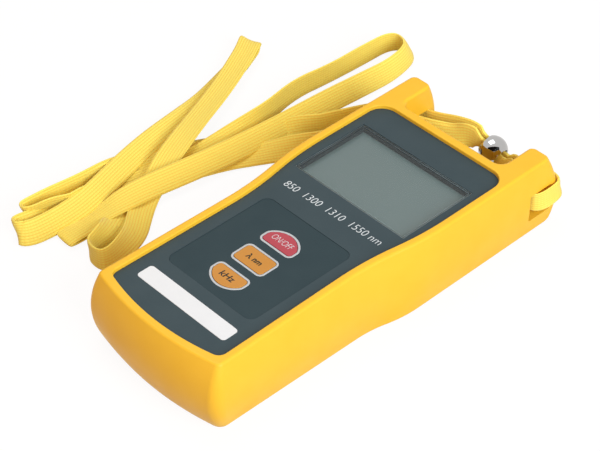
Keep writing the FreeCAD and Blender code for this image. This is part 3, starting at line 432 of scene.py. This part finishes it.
@dataclass(frozen=True)
class Moulded:
    """Moulded, painted or printed finish."""

    colour: Colour
    shade: Colour
    roughness: float
    spread: float = 0.08
    patch_scale: float = 90.0
    grain_scale: float = 1800.0
    grain: float = 0.12
    grain_depth: float = 0.2 * MM
    specks: float = 0.0
    speck_colour: Colour = (0.3, 0.12, 0.02)
    speck_scale: float = 260.0
    speck_reach: float = 0.11
    coat: float = 0.0
    coat_roughness: float = 0.2
    shine: float = 0.5

    def wire(self, sheet: Sheet) -> None:
        """Wires the finish into a new material.

        Args:
            sheet: Material to wire.
        """
        sheet.fix(Coat_Weight=self.coat, Coat_Roughness=self.coat_roughness, Specular_IOR_Level=self.shine)
        spot = sheet.spot()
        look = sheet.group(GroupName.MOULDED, {
            "Vector": spot, "Colour": solid(self.colour), "Shade": solid(self.shade),
            "Patch Scale": self.patch_scale, "Grain Scale": self.grain_scale,
            "Roughness": self.roughness, "Spread": self.spread})
        colour = look["Colour"]
        if self.specks > 0.0:
            specks = sheet.group(GroupName.SPECKS, {
                "Vector": spot, "Scale": self.speck_scale, "Reach": self.speck_reach, "Share": self.specks})
            colour = blend(sheet.tree, specks["Mask"], colour, solid(self.speck_colour))
        sheet.feed("Base Color", colour)
        sheet.feed("Roughness", look["Roughness"])
        sheet.relief(look["Height"], self.grain, self.grain_depth)


@dataclass(frozen=True)
class Metal:
    """Drawn, ground or plated metal."""

    colour: Colour
    roughness: float
    spread: float = 0.1
    stretch: Place = (40.0, 900.0, 900.0)
    grain: float = 0.05
    grain_depth: float = 0.1 * MM

    def wire(self, sheet: Sheet) -> None:
        """Wires the finish into a new material.

        Args:
            sheet: Material to wire.
        """
        sheet.fix(Metallic=1.0, Base_Color=solid(self.colour))
        lines = sheet.group(GroupName.BRUSHED, {
            "Vector": sheet.spot(scale=self.stretch), "Scale": 1.0, "Roughness": self.roughness,
            "Spread": self.spread})
        sheet.feed("Roughness", lines["Roughness"])
        sheet.relief(lines["Height"], self.grain, self.grain_depth)


@dataclass(frozen=True)
class BraidedStrap:
    """Flat braid: slanted stitches in rows, with painted shade that makes them darker and more orange where
    they dive.
    """

    # Colour of the stitches' crests, and the deeper orange where they dive, which is painted shade in the
    # grooves
    crest: Colour
    groove: Colour
    row: float
    stitch: float
    roughness: float = 0.75
    sheen: float = 0.25
    sheen_roughness: float = 0.5
    relief: float = 0.3
    relief_depth: float = 0.2 * MM

    def wire(self, sheet: Sheet) -> None:
        """Wires the finish on the strap's own map of metres along and across.

        Args:
            sheet: Material to wire.
        """
        sheet.fix(Roughness=self.roughness, Sheen_Weight=self.sheen, Sheen_Roughness=self.sheen_roughness)
        braid = sheet.group(GroupName.BRAID, {
            "Vector": sheet.spot("UV"), "Row": self.row, "Stitch": self.stitch})
        # Painted shade: the groove colour where the stitches dive
        sheet.feed("Base Color", blend(sheet.tree, braid["Groove Shade"], solid(self.crest), solid(self.groove)))
        sheet.relief(braid["Height"], self.relief, self.relief_depth)


@dataclass(frozen=True)
class ClearLens:
    """Thin clear sheet that shows what lies under it."""

    colour: Colour = (0.55, 0.62, 0.62)
    share: float = 0.05
    patch_scale: float = 60.0
    roughness: float = 0.12
    spread: float = 0.06

    def wire(self, sheet: Sheet) -> None:
        """Wires the finish with a faint cloudiness in its gloss.

        Args:
            sheet: Material to wire.
        """
        sheet.fix(Base_Color=solid(self.colour), Alpha=self.share)
        look = sheet.group(GroupName.MOULDED, {
            "Vector": sheet.spot(), "Patch Scale": self.patch_scale, "Roughness": self.roughness,
            "Spread": self.spread})
        sheet.feed("Roughness", look["Roughness"])


@dataclass(frozen=True)
class Finishes:
    """All finishes of the light source, by the name of the material slot in the record."""

    boot_rubber: Moulded = Moulded((0.95, 0.55, 0.034), (0.93, 0.53, 0.030), 0.46, specks=0.02, shine=0.3)
    case_plastic: Moulded = Moulded((0.009, 0.017, 0.021), (0.008, 0.015, 0.019), 0.6, grain=0.05,
                                    shine=0.2)
    panel_film: Moulded = Moulded((0.033, 0.056, 0.065), (0.031, 0.053, 0.062), 0.5, shine=0.25)
    keypad_film: Moulded = Moulded((0.014, 0.034, 0.041), (0.013, 0.032, 0.039), 0.48, shine=0.25)
    white_plate: Moulded = Moulded((0.80, 0.83, 0.85), (0.76, 0.79, 0.81), 0.35)
    display_glass: Moulded = Moulded((0.100, 0.155, 0.152), (0.096, 0.150, 0.147), 0.3, patch_scale=25.0)
    board: Moulded = Moulded((0.02, 0.16, 0.07), (0.015, 0.12, 0.05), 0.35, patch_scale=400.0)
    chip: Moulded = Moulded((0.02, 0.02, 0.008), (0.03, 0.03, 0.03), 0.5)
    cell: Moulded = Moulded((0.10, 0.14, 0.20), (0.09, 0.12, 0.17), 0.3, coat=0.4)
    ceramic: Moulded = Moulded((0.86, 0.85, 0.80), (0.82, 0.81, 0.77), 0.25)
    red_key: Moulded = Moulded((0.45, 0.058, 0.080), (0.43, 0.052, 0.073), 0.42, shine=0.3)
    orange_key: Moulded = Moulded((0.58, 0.255, 0.040), (0.56, 0.245, 0.036), 0.42, shine=0.3)
    steel: Metal = Metal((0.55, 0.55, 0.56), 0.35)
    plated_brass: Metal = Metal((0.45, 0.44, 0.41), 0.3, stretch=(900.0, 60.0, 900.0))
    alloy: Metal = Metal((0.6, 0.61, 0.62), 0.4)
    chrome: Metal = Metal((0.48, 0.47, 0.46), 0.05, 0.02, (200.0, 200.0, 200.0), 0.01)
    clear_lens: ClearLens = ClearLens()
    # Strap: crest colour, then the deeper orange groove colour that is painted shade
    strap: BraidedStrap = BraidedStrap((0.98, 0.835, 0.140), (0.95, 0.57, 0.038),
                                       STRAP_WIDTH / STRAP_ROWS, 1.3 * MM)
    # Inks that the record has no slot for, and the painted highlight of the lens's edge lines
    ring_print: Moulded = Moulded((0.52, 0.55, 0.57), (0.48, 0.51, 0.53), 0.5)
    pale_ink: Moulded = Moulded((0.72, 0.78, 0.81), (0.68, 0.74, 0.77), 0.5)
    dark_ink: Moulded = Moulded((0.025, 0.022, 0.02), (0.03, 0.026, 0.008), 0.5, shine=0.2)
    # Lighter colour of the lines round the lens: a painted highlight of its edges
    lens_edge: Moulded = Moulded((0.24, 0.31, 0.33), (0.22, 0.29, 0.31), 0.3)


def put_in_scene(name: str, data: bpy.types.ID) -> bpy.types.Object:
    """Adds an object to the scene.

    Args:
        name: The object's name.
        data: Its mesh, lamp or camera.

    Returns:
        The object.
    """
    holder = bpy.data.objects.new(name, data)
    bpy.context.scene.collection.objects.link(holder)
    return holder


class Wardrobe:
    """Materials that are built from the finishes on first use."""

    def __init__(self) -> None:
        """Starts with the shared node groups and no material."""
        self.finishes = Finishes()
        self.groups = NodeGroups()
        self.ready: dict[str, Material] = {}

    def get(self, name: str) -> Material:
        """Gives the material of one finish, made once.

        Args:
            name: The finish.

        Returns:
            Its material.
        """
        if name not in self.ready:
            sheet = Sheet(bpy.data.materials.new(name), self.groups)
            getattr(self.finishes, name).wire(sheet)
            self.ready[name] = sheet.material
        return self.ready[name]

    def piece(self, mesh: Mesh, finish: str, body: Body = Body.INSTRUMENT) -> bpy.types.Object:
        """Puts a mesh in the scene as a piece that wears a finish and rides on a body.

        Args:
            mesh: The piece's mesh, already in place, which gives its name.
            finish: Name of the finish.
            body: Body that it moves with.

        Returns:
            The new object.
        """
        mesh.materials.append(self.get(finish))
        piece = put_in_scene(mesh.name, mesh)
        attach(piece, body.value)
        LOG.info("%s: %d faces on %s", mesh.name, len(mesh.polygons), body.value)
        return piece


def circle(count: int) -> Array:
    """Unit plan directions spread evenly round a turn, one row each."""
    angle = np.linspace(0.0, 2 * math.pi, count, endpoint=False)
    return np.stack([np.cos(angle), np.sin(angle)], axis=1)


def read_vertices(mesh: Mesh) -> Array:
    """Reads a mesh's vertices.

    Args:
        mesh: Mesh to read.

    Returns:
        Their places, one row each.
    """
    flat = np.empty(len(mesh.vertices) * 3)
    mesh.vertices.foreach_get("co", flat)
    return flat.reshape(-1, 3)


def curve_mesh(curve: bpy.types.Curve) -> Mesh:
    """Turns a curve or text into a mesh and deletes it.

    Args:
        curve: Curve or text that nothing else uses.

    Returns:
        The mesh.
    """
    holder = bpy.data.objects.new(curve.name, curve)
    mesh = bpy.data.meshes.new_from_object(holder)
    bpy.data.objects.remove(holder)
    bpy.data.curves.remove(curve)
    return mesh


def grid_mesh(name: str, points: Array, ring: bool, uv: Array | None = None) -> Mesh:
    """Mesh of a grid of points whose columns close on themselves.

    The face at row i and column j joins the points (i, j), (i, j+1), (i+1, j+1) and (i+1, j).

    Args:
        name: The mesh's name.
        points: Places, as rows by columns by three.
        ring: Whether the last row joins the first; if not, a face closes each of these two.
        uv: Map places, as rows by columns + 1 by two; the last column repeats the seam.

    Returns:
        The smooth mesh.
    """
    rows, columns = points.shape[:2]
    spans = rows if ring else rows - 1
    i, j = np.meshgrid(np.arange(spans), np.arange(columns), indexing="ij")
    k, m = (i + 1) % rows, (j + 1) % columns
    quads = np.stack([i * columns + j, i * columns + m, k * columns + m, k * columns + j], axis=-1)
    faces = quads.reshape(-1, 4).tolist()
    if not ring:
        faces.append(list(range(columns - 1, -1, -1)))
        faces.append(list(range((rows - 1) * columns, rows * columns)))
    mesh = bpy.data.meshes.new(name)
    mesh.from_pydata(points.reshape(-1, 3).tolist(), [], faces)
    if uv is not None:
        here = i * (columns + 1) + j
        above = here + columns + 1
        corners = np.stack([here, here + 1, above + 1, above], axis=-1)
        layer = mesh.uv_layers.new(name=name)
        values = np.zeros((len(mesh.loops), 2))
        values[:quads.size] = uv.reshape(-1, 2)[corners.reshape(-1)]
        layer.uv.foreach_set("vector", values.reshape(-1))
    mesh.polygons.foreach_set("use_smooth", np.ones(len(mesh.polygons), dtype=bool))
    mesh.update()
    return mesh


def rim_mesh(name: str, spots: Array, profile: Array, z: float, samples: int = 240) -> Mesh:
    """Profile carried round the outline of a convex set of plan spots.

    The outline is the furthest spot in each direction tried, and that direction is its normal there. Each
    point is the outline's place plus the normal times the profile's offset, at z plus its height.

    Args:
        name: The mesh's name.
        spots: Plan places, one row each.
        profile: Closed rows of (offset, height).
        z: Height that the profile stands on.
        samples: Directions tried.

    Returns:
        The mesh.
    """
    normals = circle(samples)
    places = spots[np.argmax(normals @ spots.T, axis=1)]
    offset, height = profile[:, 0], profile[:, 1]
    plan = places[:, None, :] + normals[:, None, :] * offset[None, :, None]
    level = np.broadcast_to(z + height[None, :, None], plan.shape[:2] + (1,))
    return grid_mesh(name, np.concatenate([plan, level], axis=2), ring=True)


def lettering(name: str, words: str, centre: Pair, size: Pair, z: float,
              weight: float, turn: float = 0.0) -> Mesh:
    """Flat printed words as a thin mesh.

    Args:
        name: The mesh's name.
        words: What is printed.
        centre: Plan place of the words' middle.
        size: Width and height that the words fill.
        z: Height of the printed surface.
        weight: How much bolder the strokes are, as a share of the letters' size.
        turn: Turn in the plane, in radians.

    Returns:
        The mesh.
    """
    curve = bpy.data.curves.new(name, "FONT")
    curve.body = words
    curve.extrude = TEXT_DEPTH
    curve.offset = weight
    mesh = curve_mesh(curve)
    points = read_vertices(mesh)
    low, high = points.min(axis=0), points.max(axis=0)
    flat = (points - (low + high) / 2) / (high - low)
    y = flat[:, 1] * size[1]
    x = flat[:, 0] * size[0] + PRINT_SLANT * y
    placed = np.stack([centre[0] + math.cos(turn) * x - math.sin(turn) * y,
                       centre[1] + math.sin(turn) * x + math.cos(turn) * y,
                       z + INK_THICK * (flat[:, 2] + 0.5)], axis=1)
    mesh.vertices.foreach_set("co", placed.reshape(-1))
    mesh.update()
    mesh.name = name
    return mesh


@dataclass
class Instrument:
    """Boot, case and inner pieces, which keep their solids and get finishes."""

    frame: dict
    wardrobe: Wardrobe

    def dress(self) -> None:
        """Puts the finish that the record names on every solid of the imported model."""
        for entry in self.frame["record"]["subparts"]:
            node = self.frame["nodes"][entry["node"]]
            for slot in node.material_slots:
                slot.material = self.wardrobe.get(entry["material_slot"])
            LOG.info("%s: finish %s", entry["node"], entry["material_slot"])


@dataclass
class Keypad:
    """Printed rings and legends of the three keys."""

    frame: dict
    wardrobe: Wardrobe
    ring_inside: float = 0.17 * MM
    ring_outside: float = 1.0 * MM
    ring_rise: float = 0.06 * MM
    cap_share: float = 0.5

    # Words, body, ink, size, shift along Y and weight of each key's legend
    LEGENDS = {
        "on_off_key": ("ON/OFF", Body.ON_OFF, "pale_ink", (9.6 * MM, 2.7 * MM), -0.2 * MM, -0.02),
        "wave_key": ("\u03bb nm", Body.WAVE, "dark_ink", (7.2 * MM, 2.7 * MM), 0.0, 0.03),
        "mode_key": ("kHz", Body.MODE, "dark_ink", (6.6 * MM, 2.7 * MM), 0.6 * MM, 0.016),
    }

    def build(self) -> None:
        """Makes a ring and a legend for each key."""
        plate_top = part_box("keypad_plate")[1].z
        inner, outer, rise = self.ring_inside, self.ring_outside, self.ring_rise
        profile = np.array([(inner, -rise / 2), (outer, -rise / 2), (outer, rise / 2), (outer - rise, rise),
                            (inner + rise, rise), (inner, rise / 2)])
        for node, (words, body, ink, size, shift, weight) in self.LEGENDS.items():
            low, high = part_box(node)
            points = read_vertices(self.frame["nodes"][node].data)
            cap = points[points[:, 2] > low.z + (high.z - low.z) * self.cap_share, :2]
            rim = rim_mesh(node + "_ring", cap, profile, plate_top)
            ring = self.wardrobe.piece(rim, "ring_print")
            centre = ((low.x + high.x) / 2, (low.y + high.y) / 2 + shift)
            print_mesh = lettering(node + "_legend", words, centre, size, high.z, weight)
            legend = self.wardrobe.piece(print_mesh, ink, body)


@dataclass
class Display:
    """Mask of the display's lens, lighter lines round its edges that are painted highlights, and the
    printed line under it.
    """

    wardrobe: Wardrobe
    edge_insets: Pair = (0.1 * MM, 0.8 * MM)
    edge_radius: float = 0.05 * MM
    edge_sides: int = 10
    edge_samples: int = 128
    mask_wide: float = 1.0 * MM
    mask_thick: float = 0.05 * MM
    title: str = "850  1300  1310  1550 nm"
    title_from: Pair = (-23.4 * MM, 0.6 * MM)
    title_to: Pair = (24.6 * MM, 2.1 * MM)
    title_height: float = 3.3 * MM
    title_weight: float = -0.012

    def build(self) -> None:
        """Makes the lens's mask, the painted highlight lines round its edges and the printed line."""
        self._mask()
        self._edges()
        self._title()

    def _mask(self) -> None:
        """Makes the pale L-shaped print under the lens's near and right edges, over the case's ledge."""
        low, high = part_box("display_window")
        side, near = high.x - self.mask_wide, low.y + self.mask_wide
        plan = ((low.x, low.y), (high.x, low.y), (high.x, high.y),
                (side, high.y), (side, near), (low.x, near))
        points = np.array([[(x, y, z) for x, y in plan] for z in (low.z, low.z + self.mask_thick)])
        mesh = grid_mesh("display_mask", points, ring=False)
        mask = self.wardrobe.piece(mesh, "display_glass")

    def _edges(self) -> None:
        """Makes two fine lighter lines round the lens's rim, painted highlights of its edges."""
        low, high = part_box("display_window")
        section = circle(self.edge_sides) * self.edge_radius
        for number, inset in enumerate(self.edge_insets, start=1):
            gap = inset + self.edge_radius
            corners = [(x, y) for x in (low.x + gap, high.x - gap) for y in (low.y + gap, high.y - gap)]
            mesh = rim_mesh("lens_edge_%d" % number, np.array(corners), section, high.z, self.edge_samples)
            edge = self.wardrobe.piece(mesh, "lens_edge")

    def _title(self) -> None:
        """Prints the line of wavelengths under the display."""
        start, end = np.array(self.title_from), np.array(self.title_to)
        run = end - start
        mesh = lettering("wavelength_line", self.title, tuple((start + end) / 2),
                         (float(np.hypot(*run)), self.title_height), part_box("front_panel")[1].z,
                         self.title_weight, math.atan2(run[1], run[0]))
        line = self.wardrobe.piece(mesh, "pale_ink")


@dataclass
class Port:
    """Screw thread on the barrel of the optical port."""

    wardrobe: Wardrobe
    pitch: float = 0.75 * MM
    depth: float = 0.22 * MM
    sunk: float = 0.1 * MM
    free_length: float = 6.2 * MM
    slot_half_deg: float = 16.5
    axis_x: float = -12.0 * MM
    axis_z: float = 12.6 * MM
    radius: float = 4.0 * MM
    steps_per_pitch: int = 12
    steps_per_turn: int = 72
    fade_rate: float = 14.0

    def build(self) -> None:
        """Carries a row of thread teeth round the barrel, from one side of its key slot to the other.

        The tooth row shifts along the barrel by one pitch for each full turn, and each crest is a
        raised cosine of the place along the barrel.
        """
        end_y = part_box("fc_adapter")[1].y - self.sunk
        along = np.linspace(0.0, 1.0, int(self.free_length / self.pitch) * self.steps_per_pitch)
        half = math.radians(self.slot_half_deg)
        turn = np.linspace(half, 2 * math.pi - half, self.steps_per_turn)
        phase = along[None, :] * self.free_length / self.pitch - turn[:, None] / (2 * math.pi)
        fade = np.clip(np.minimum(along, 1 - along) * self.fade_rate, 0.0, 1.0)
        outer = self.radius + self.depth * (0.5 + 0.5 * np.cos(2 * math.pi * phase)) * fade[None, :]
        inner = np.full((len(turn), 2), self.radius - self.sunk)
        reach = np.concatenate([outer, inner], axis=1)
        y = end_y - self.free_length + np.concatenate([along, [1.0, 0.0]]) * self.free_length
        points = np.stack([self.axis_x + reach * np.sin(turn)[:, None],
                           np.broadcast_to(y[None, :], reach.shape),
                           self.axis_z + reach * np.cos(turn)[:, None]], axis=2)
        mesh = grid_mesh("port_thread", points, ring=False)
        thread = self.wardrobe.piece(mesh, "plated_brass")


@dataclass
class Lanyard:
    """Flat braided strap that is one closed loop, and its chrome bead."""

    wardrobe: Wardrobe
    width: float = STRAP_WIDTH
    thick: float = 1.2 * MM
    rows: int = STRAP_ROWS
    row_depth: float = 0.12
    edge_power: int = 6
    clear: float = 0.05 * MM
    hollow: float = 0.35 * MM
    hollow_level: float = 0.4
    belly_share: float = 0.7
    lay_passes: int = 3
    gathered: float = 0.5
    gather_from: float = 6.4 * MM
    gather_to: float = 8.8 * MM
    gather_bulk: float = 0.35
    ear_share: float = 0.8
    ear_spot: Place = (37.0 * MM, 80.0 * MM, 16.0 * MM)
    ear_from: float = 11.0 * MM
    ear_to: float = 20.0 * MM
    face_points: int = 30
    spline_order: int = 3
    steps_per_point: int = 9
    bead_radius: float = 5.8 * MM
    bead_bore: float = 3.7 * MM
    bead_edge: float = 0.35 * MM
    bead_tilt_deg: float = 20.0
    bead_steps: int = 41
    bead_sides: int = 72
    # Shares of the bead's edge: how far its mouth is set in, and how far it is wider than the bore
    mouth_sink: float = 0.3
    mouth_flare: float = 0.25

    def build(self) -> None:
        bead = self._bead()
        route = np.array(LANYARD_ROUTE)
        path = self._spline("lanyard_line", route[:, :3] * MM)
        lean = self._spline("lanyard_lean", route[:, 3:])
        for _ in range(self.lay_passes):
            path = self._laid(path, lean)
        run = np.concatenate([[0.0], np.cumsum(np.linalg.norm(np.diff(path, axis=0), axis=1))])
        strap = self.wardrobe.piece(self._strap(path, lean, run), "strap")
        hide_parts("lanyard")

    def _spline(self, name: str, rows: Array) -> Array:
        """Points read from a smooth spline with the given control points.

        Args:
            name: Name of the passing curve.
            rows: Control points.

        Returns:
            Points along the spline.
        """
        curve = bpy.data.curves.new(name, "CURVE")
        curve.dimensions = "3D"
        spline = curve.splines.new("NURBS")
        spline.points.add(len(rows) - 1)
        spline.points.foreach_set("co", np.column_stack([rows, np.ones(len(rows))]).reshape(-1))
        spline.order_u = self.spline_order
        spline.use_endpoint_u = True
        spline.resolution_u = self.steps_per_point
        mesh = curve_mesh(curve)
        points = read_vertices(mesh)
        bpy.data.meshes.remove(mesh)
        return points

    @staticmethod
    def _directions(path: Array, lean: Array) -> tuple[Array, Array]:
        """Width and thickness directions of the strap, square to its line.

        Args:
            path: Middle line.
            lean: Rough width direction at each point.

        Returns:
            Unit vectors across and through the strap.
        """
        ahead = np.gradient(path, axis=0)
        ahead /= np.linalg.norm(ahead, axis=1, keepdims=True)
        across = lean - np.sum(lean * ahead, axis=1, keepdims=True) * ahead
        across /= np.linalg.norm(across, axis=1, keepdims=True)
        return across, np.cross(ahead, across)

    def _laid(self, path: Array, lean: Array) -> Array:
        """Raises the line where the strap's lower edge would sink into the surface it lies on.

        The edge's depth under the line is half the width and the belly's share of the thickness, each
        times the upright share of its direction.

        Args:
            path: Middle line.
            lean: Rough width direction at each point.

        Returns:
            The raised line.
        """
        across, through = np.abs(self._directions(path, lean))[:, :, 2]
        depth = across * self.width / 2 + through * self.thick * self.belly_share
        lift = np.maximum(depth + self.clear - path[:, 2], 0.0)
        return path + lift[:, None] * np.array([0.0, 0.0, 1.0])

    @staticmethod
    def _ease(path: Array, spot: Array, near: float, far: float) -> Array:
        """Smooth step of the distance to a spot.

        Args:
            path: Middle line.
            spot: Place that the distance is taken from.
            near: Distance up to which the step is zero.
            far: Distance from which it is one.

        Returns:
            The step 3t^2 - 2t^3 at each point, with t the distance's share of the way from near to far.
        """
        t = np.clip((np.linalg.norm(path - spot, axis=1) - near) / (far - near), 0.0, 1.0)
        return t * t * (3.0 - 2.0 * t)

    def _bead_centre(self) -> Array:
        """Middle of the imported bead."""
        low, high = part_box("lanyard_bead")
        return np.array((low + high) / 2)

    def _strap(self, path: Array, lean: Array, run: Array) -> Mesh:
        """Carries the braid's section along the path.

        The section is flat and round at its edges, half thickness times the rounding (1 - |a|^p)^(1/2) of
        the place a across with the edge's power p, with a cosine for the rows, and it hollows as a^2.

        Args:
            path: Middle line.
            lean: Width direction at each point of the line, before it is made square to the line.
            run: Length of the line up to each point.

        Returns:
            The mesh, with a map of metres along and across.
        """
        across, through = self._directions(path, lean)
        place_across = -np.cos(np.linspace(0.0, math.pi, self.face_points))
        rounding = np.sqrt(1.0 - np.abs(place_across) ** self.edge_power)
        ripple = 1.0 + self.row_depth * np.cos(math.pi * self.rows * (place_across + 1.0) + math.pi)
        rise = rounding * ripple * self.thick / 2
        a = np.concatenate([place_across, place_across[-2:0:-1]])
        side = np.concatenate([rise, -rise[-2:0:-1]])
        ease = self._ease(path, self._bead_centre(), self.gather_from, self.gather_to)
        share = self.gathered + (1.0 - self.gathered) * ease
        beside = self._ease(path, np.array(self.ear_spot), self.ear_from, self.ear_to)
        half = share * (self.ear_share + (1.0 - self.ear_share) * beside) * self.width / 2
        bulk = 1.0 + self.gather_bulk * (1.0 - ease)
        bend = self.hollow * ease[:, None] * (a ** 2 - self.hollow_level)[None, :]
        offset = side[None, :] * bulk[:, None] + bend
        points = path[:, None, :] + across[:, None, :] * (half[:, None] * a[None, :])[:, :, None]
        points = points + through[:, None, :] * offset[:, :, None]
        wrap = np.concatenate([a, a[:1]]) * self.width / 2
        uv = np.stack(np.broadcast_arrays(run[:, None], wrap[None, :]), axis=2)
        return grid_mesh("lanyard_strap", points, ring=False, uv=uv)

    def _bead(self) -> bpy.types.Object:
        """Ball with a bore: a closed profile turned about the bead's axis.

        The profile runs over the ball from one mouth to the other, round the mouth's edge and back
        along the bore.

        Returns:
            The bead's object.
        """
        lip = math.acos((self.bead_bore + self.bead_edge) / self.bead_radius)
        sweep = np.linspace(-lip, lip, self.bead_steps)
        ball = np.stack([self.bead_radius * np.sin(sweep), self.bead_radius * np.cos(sweep)], axis=1)
        end = self.bead_radius * math.sin(lip) - self.bead_edge * self.mouth_sink
        mouth = self.bead_bore + self.bead_edge * self.mouth_flare
        edge = np.array([(end, mouth), (end - self.bead_edge, self.bead_bore)])
        profile = np.concatenate([ball, edge, (edge * (-1, 1))[::-1]])
        tilt = math.radians(self.bead_tilt_deg)
        axis = np.array([math.cos(tilt), 0.0, -math.sin(tilt)])
        level = np.array([0.0, 1.0, 0.0])
        turn = circle(self.bead_sides)
        spoke = turn[:, :1] * level + turn[:, 1:] * np.cross(axis, level)
        along, out = profile[None, :, :1], profile[None, :, 1:]
        points = self._bead_centre() + along * axis + out * spoke[:, None, :]
        mesh = grid_mesh("bead_ball", points, ring=True)
        bead = self.wardrobe.piece(mesh, "chrome", Body.BEAD)
        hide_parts("lanyard_bead")
        return bead


@dataclass(frozen=True)
class SoftBox:
    """Square lamp with a soft edge to its shadow."""

    name: str
    place: Place
    aim: Place
    side: float
    power: float
    colour: Colour

    def build(self) -> None:
        """Makes the lamp."""
        lamp = bpy.data.lights.new(self.name, "AREA")
        lamp.size, lamp.energy, lamp.color = self.side, self.power, self.colour
        holder = put_in_scene(self.name, lamp)
        holder.location = self.place
        holder.rotation_euler = (Vector(self.aim) - Vector(self.place)).to_track_quat("-Z", "Y").to_euler()


@dataclass
class Studio:
    """Camera, floor, dark card, background and lamps."""

    camera_turn_deg: float = 46.56
    camera_rise_deg: float = 41.26
    camera_distance: float = 691.95 * MM
    camera_target: Place = (-2.32 * MM, -12.27 * MM, 29.6 * MM)
    camera_lens: float = 115.23
    camera_sensor: float = 36.0
    floor_half: float = 3.0
    floor_z: float = -0.1 * MM
    floor_glow: float = 1.15
    floor_colour: Colour = (0.5, 0.47, 0.45)
    floor_share: float = 0.8
    ambient: Colour = (0.38, 0.25, 0.185)
    backdrop: Colour = (1.0, 1.0, 1.0)
    card_back: float = 0.85
    card_half: Pair = (0.9, 0.3)
    card_lift: float = 0.14
    card_colour: Colour = (0.02, 0.02, 0.02)
    lamps: tuple[SoftBox, ...] = (
        SoftBox("key_lamp", (1.0, -0.12, 0.62), (0.0, 0.0, 0.0), 0.7, 13.0, (0.9, 1.02, 1.08)),
        SoftBox("fill_lamp", (0.25, -1.0, 0.55), (0.0, 0.0, 0.0), 0.9, 2.2, (1.0, 0.76, 0.64)),
        SoftBox("top_lamp", (-0.3, 0.1, 0.9), (-0.08, 0.0, 0.0), 0.6, 3.0, (0.9, 1.02, 1.08)),
    )

    def build(self) -> None:
        """Makes everything round the object."""
        bpy.context.scene.view_settings.view_transform = "Standard"
        turn, rise = math.radians(self.camera_turn_deg), math.radians(self.camera_rise_deg)
        level = Vector((math.cos(turn), math.sin(turn), 0.0))
        back = Vector((math.sin(turn) * math.cos(rise), -math.cos(turn) * math.cos(rise), math.sin(rise)))
        self._camera(back)
        self._floor()
        self._card(back, level)
        self._background()
        for lamp in self.lamps:
            lamp.build()

    def _camera(self, back: Vector) -> None:
        """Places the camera at the photograph's viewing angle.

        Args:
            back: Direction from the object to the camera.
        """
        data = bpy.data.cameras.new("camera")
        data.lens, data.sensor_width, data.sensor_fit = self.camera_lens, self.camera_sensor, "HORIZONTAL"
        camera = put_in_scene("camera", data)
        camera.location = Vector(self.camera_target) + back * self.camera_distance
        camera.rotation_euler = (-back).to_track_quat("-Z", "Y").to_euler()
        bpy.context.scene.camera = camera

    def _plane(self, name: str, centre: Vector, wide: Vector, high: Vector
               ) -> tuple[bpy.types.Object, Tree]:
        """Adds a four-cornered plane with an empty material.

        Args:
            name: The plane's name.
            centre: Its middle.
            wide: Half of one side.
            high: Half of the other side.

        Returns:
            The plane and its material's node tree.
        """
        mesh = bpy.data.meshes.new(name)
        corners = [centre - wide - high, centre + wide - high, centre + wide + high, centre - wide + high]
        mesh.from_pydata(corners, [], [(0, 1, 2, 3)])
        material = bpy.data.materials.new(name)
        material.use_nodes = True
        material.node_tree.nodes.clear()
        mesh.materials.append(material)
        return put_in_scene(name, mesh), material.node_tree

    def _seen(self, tree: Tree) -> Socket:
        """Tells which rays see a surface rather than only gather its light.

        Args:
            tree: Node tree that takes the nodes.

        Returns:
            One where a ray comes from the camera, a reflection or clear glass, else zero.
        """
        path = place(tree, "ShaderNodeLightPath").outputs
        first = calc(tree, "MAXIMUM", path["Is Camera Ray"], path["Is Glossy Ray"])
        return calc(tree, "MAXIMUM", first, path["Is Transmission Ray"])

    def _floor(self) -> None:
        """White floor that keeps a faint shadow and is clear from below."""
        floor, tree = self._plane("floor", Vector((0.0, 0.0, self.floor_z)),
                                  Vector((self.floor_half, 0.0, 0.0)), Vector((0.0, self.floor_half, 0.0)))
        paper = place(tree, "ShaderNodeBsdfDiffuse", {"Color": solid(self.floor_colour)})
        glow = place(tree, "ShaderNodeEmission", {"Strength": self.floor_glow})
        share = calc(tree, "MULTIPLY", self._seen(tree), self.floor_share)
        mixed = place(tree, "ShaderNodeMixShader", {0: share, 1: paper.outputs[0], 2: glow.outputs[0]})
        under = place(tree, "ShaderNodeNewGeometry").outputs["Backfacing"]
        clear = place(tree, "ShaderNodeBsdfTransparent")
        sides = place(tree, "ShaderNodeMixShader", {0: under, 1: mixed.outputs[0], 2: clear.outputs[0]})
        place(tree, "ShaderNodeOutputMaterial", {"Surface": sides.outputs[0]})

    def _card(self, back: Vector, level: Vector) -> None:
        """Dark card behind the camera, seen only in reflections, that gives polished metal its dark band.

        Args:
            back: Direction from the object to the camera.
            level: Level direction to the camera's right.
        """
        upright = back.cross(level)
        card, tree = self._plane("card", back * self.card_back + upright * self.card_lift,
                                 level * self.card_half[0], upright * self.card_half[1])
        card.visible_camera = card.visible_diffuse = card.visible_shadow = False
        cloth = place(tree, "ShaderNodeBsdfDiffuse", {"Color": solid(self.card_colour)})
        place(tree, "ShaderNodeOutputMaterial", {"Surface": cloth.outputs[0]})

    def _background(self) -> None:
        """White where it is seen, softer and warmer where it only lights."""
        world = bpy.data.worlds.new("studio")
        world.use_nodes = True
        tree = world.node_tree
        tint = blend(tree, self._seen(tree), solid(self.ambient), solid(self.backdrop))
        tree.links.new(tint, tree.nodes["Background"].inputs["Color"])
        bpy.context.scene.world = world


def main() -> None:
    """Builds the light source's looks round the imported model."""
    logging.basicConfig(level=logging.INFO, format="%(name)s %(message)s")
    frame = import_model()
    wardrobe = Wardrobe()
    Studio().build()
    Lanyard(wardrobe).build()
    Instrument(frame, wardrobe).dress()
    Keypad(frame, wardrobe).build()
    Display(wardrobe).build()
    Port(wardrobe).build()


if __name__ == "__main__":
    main()
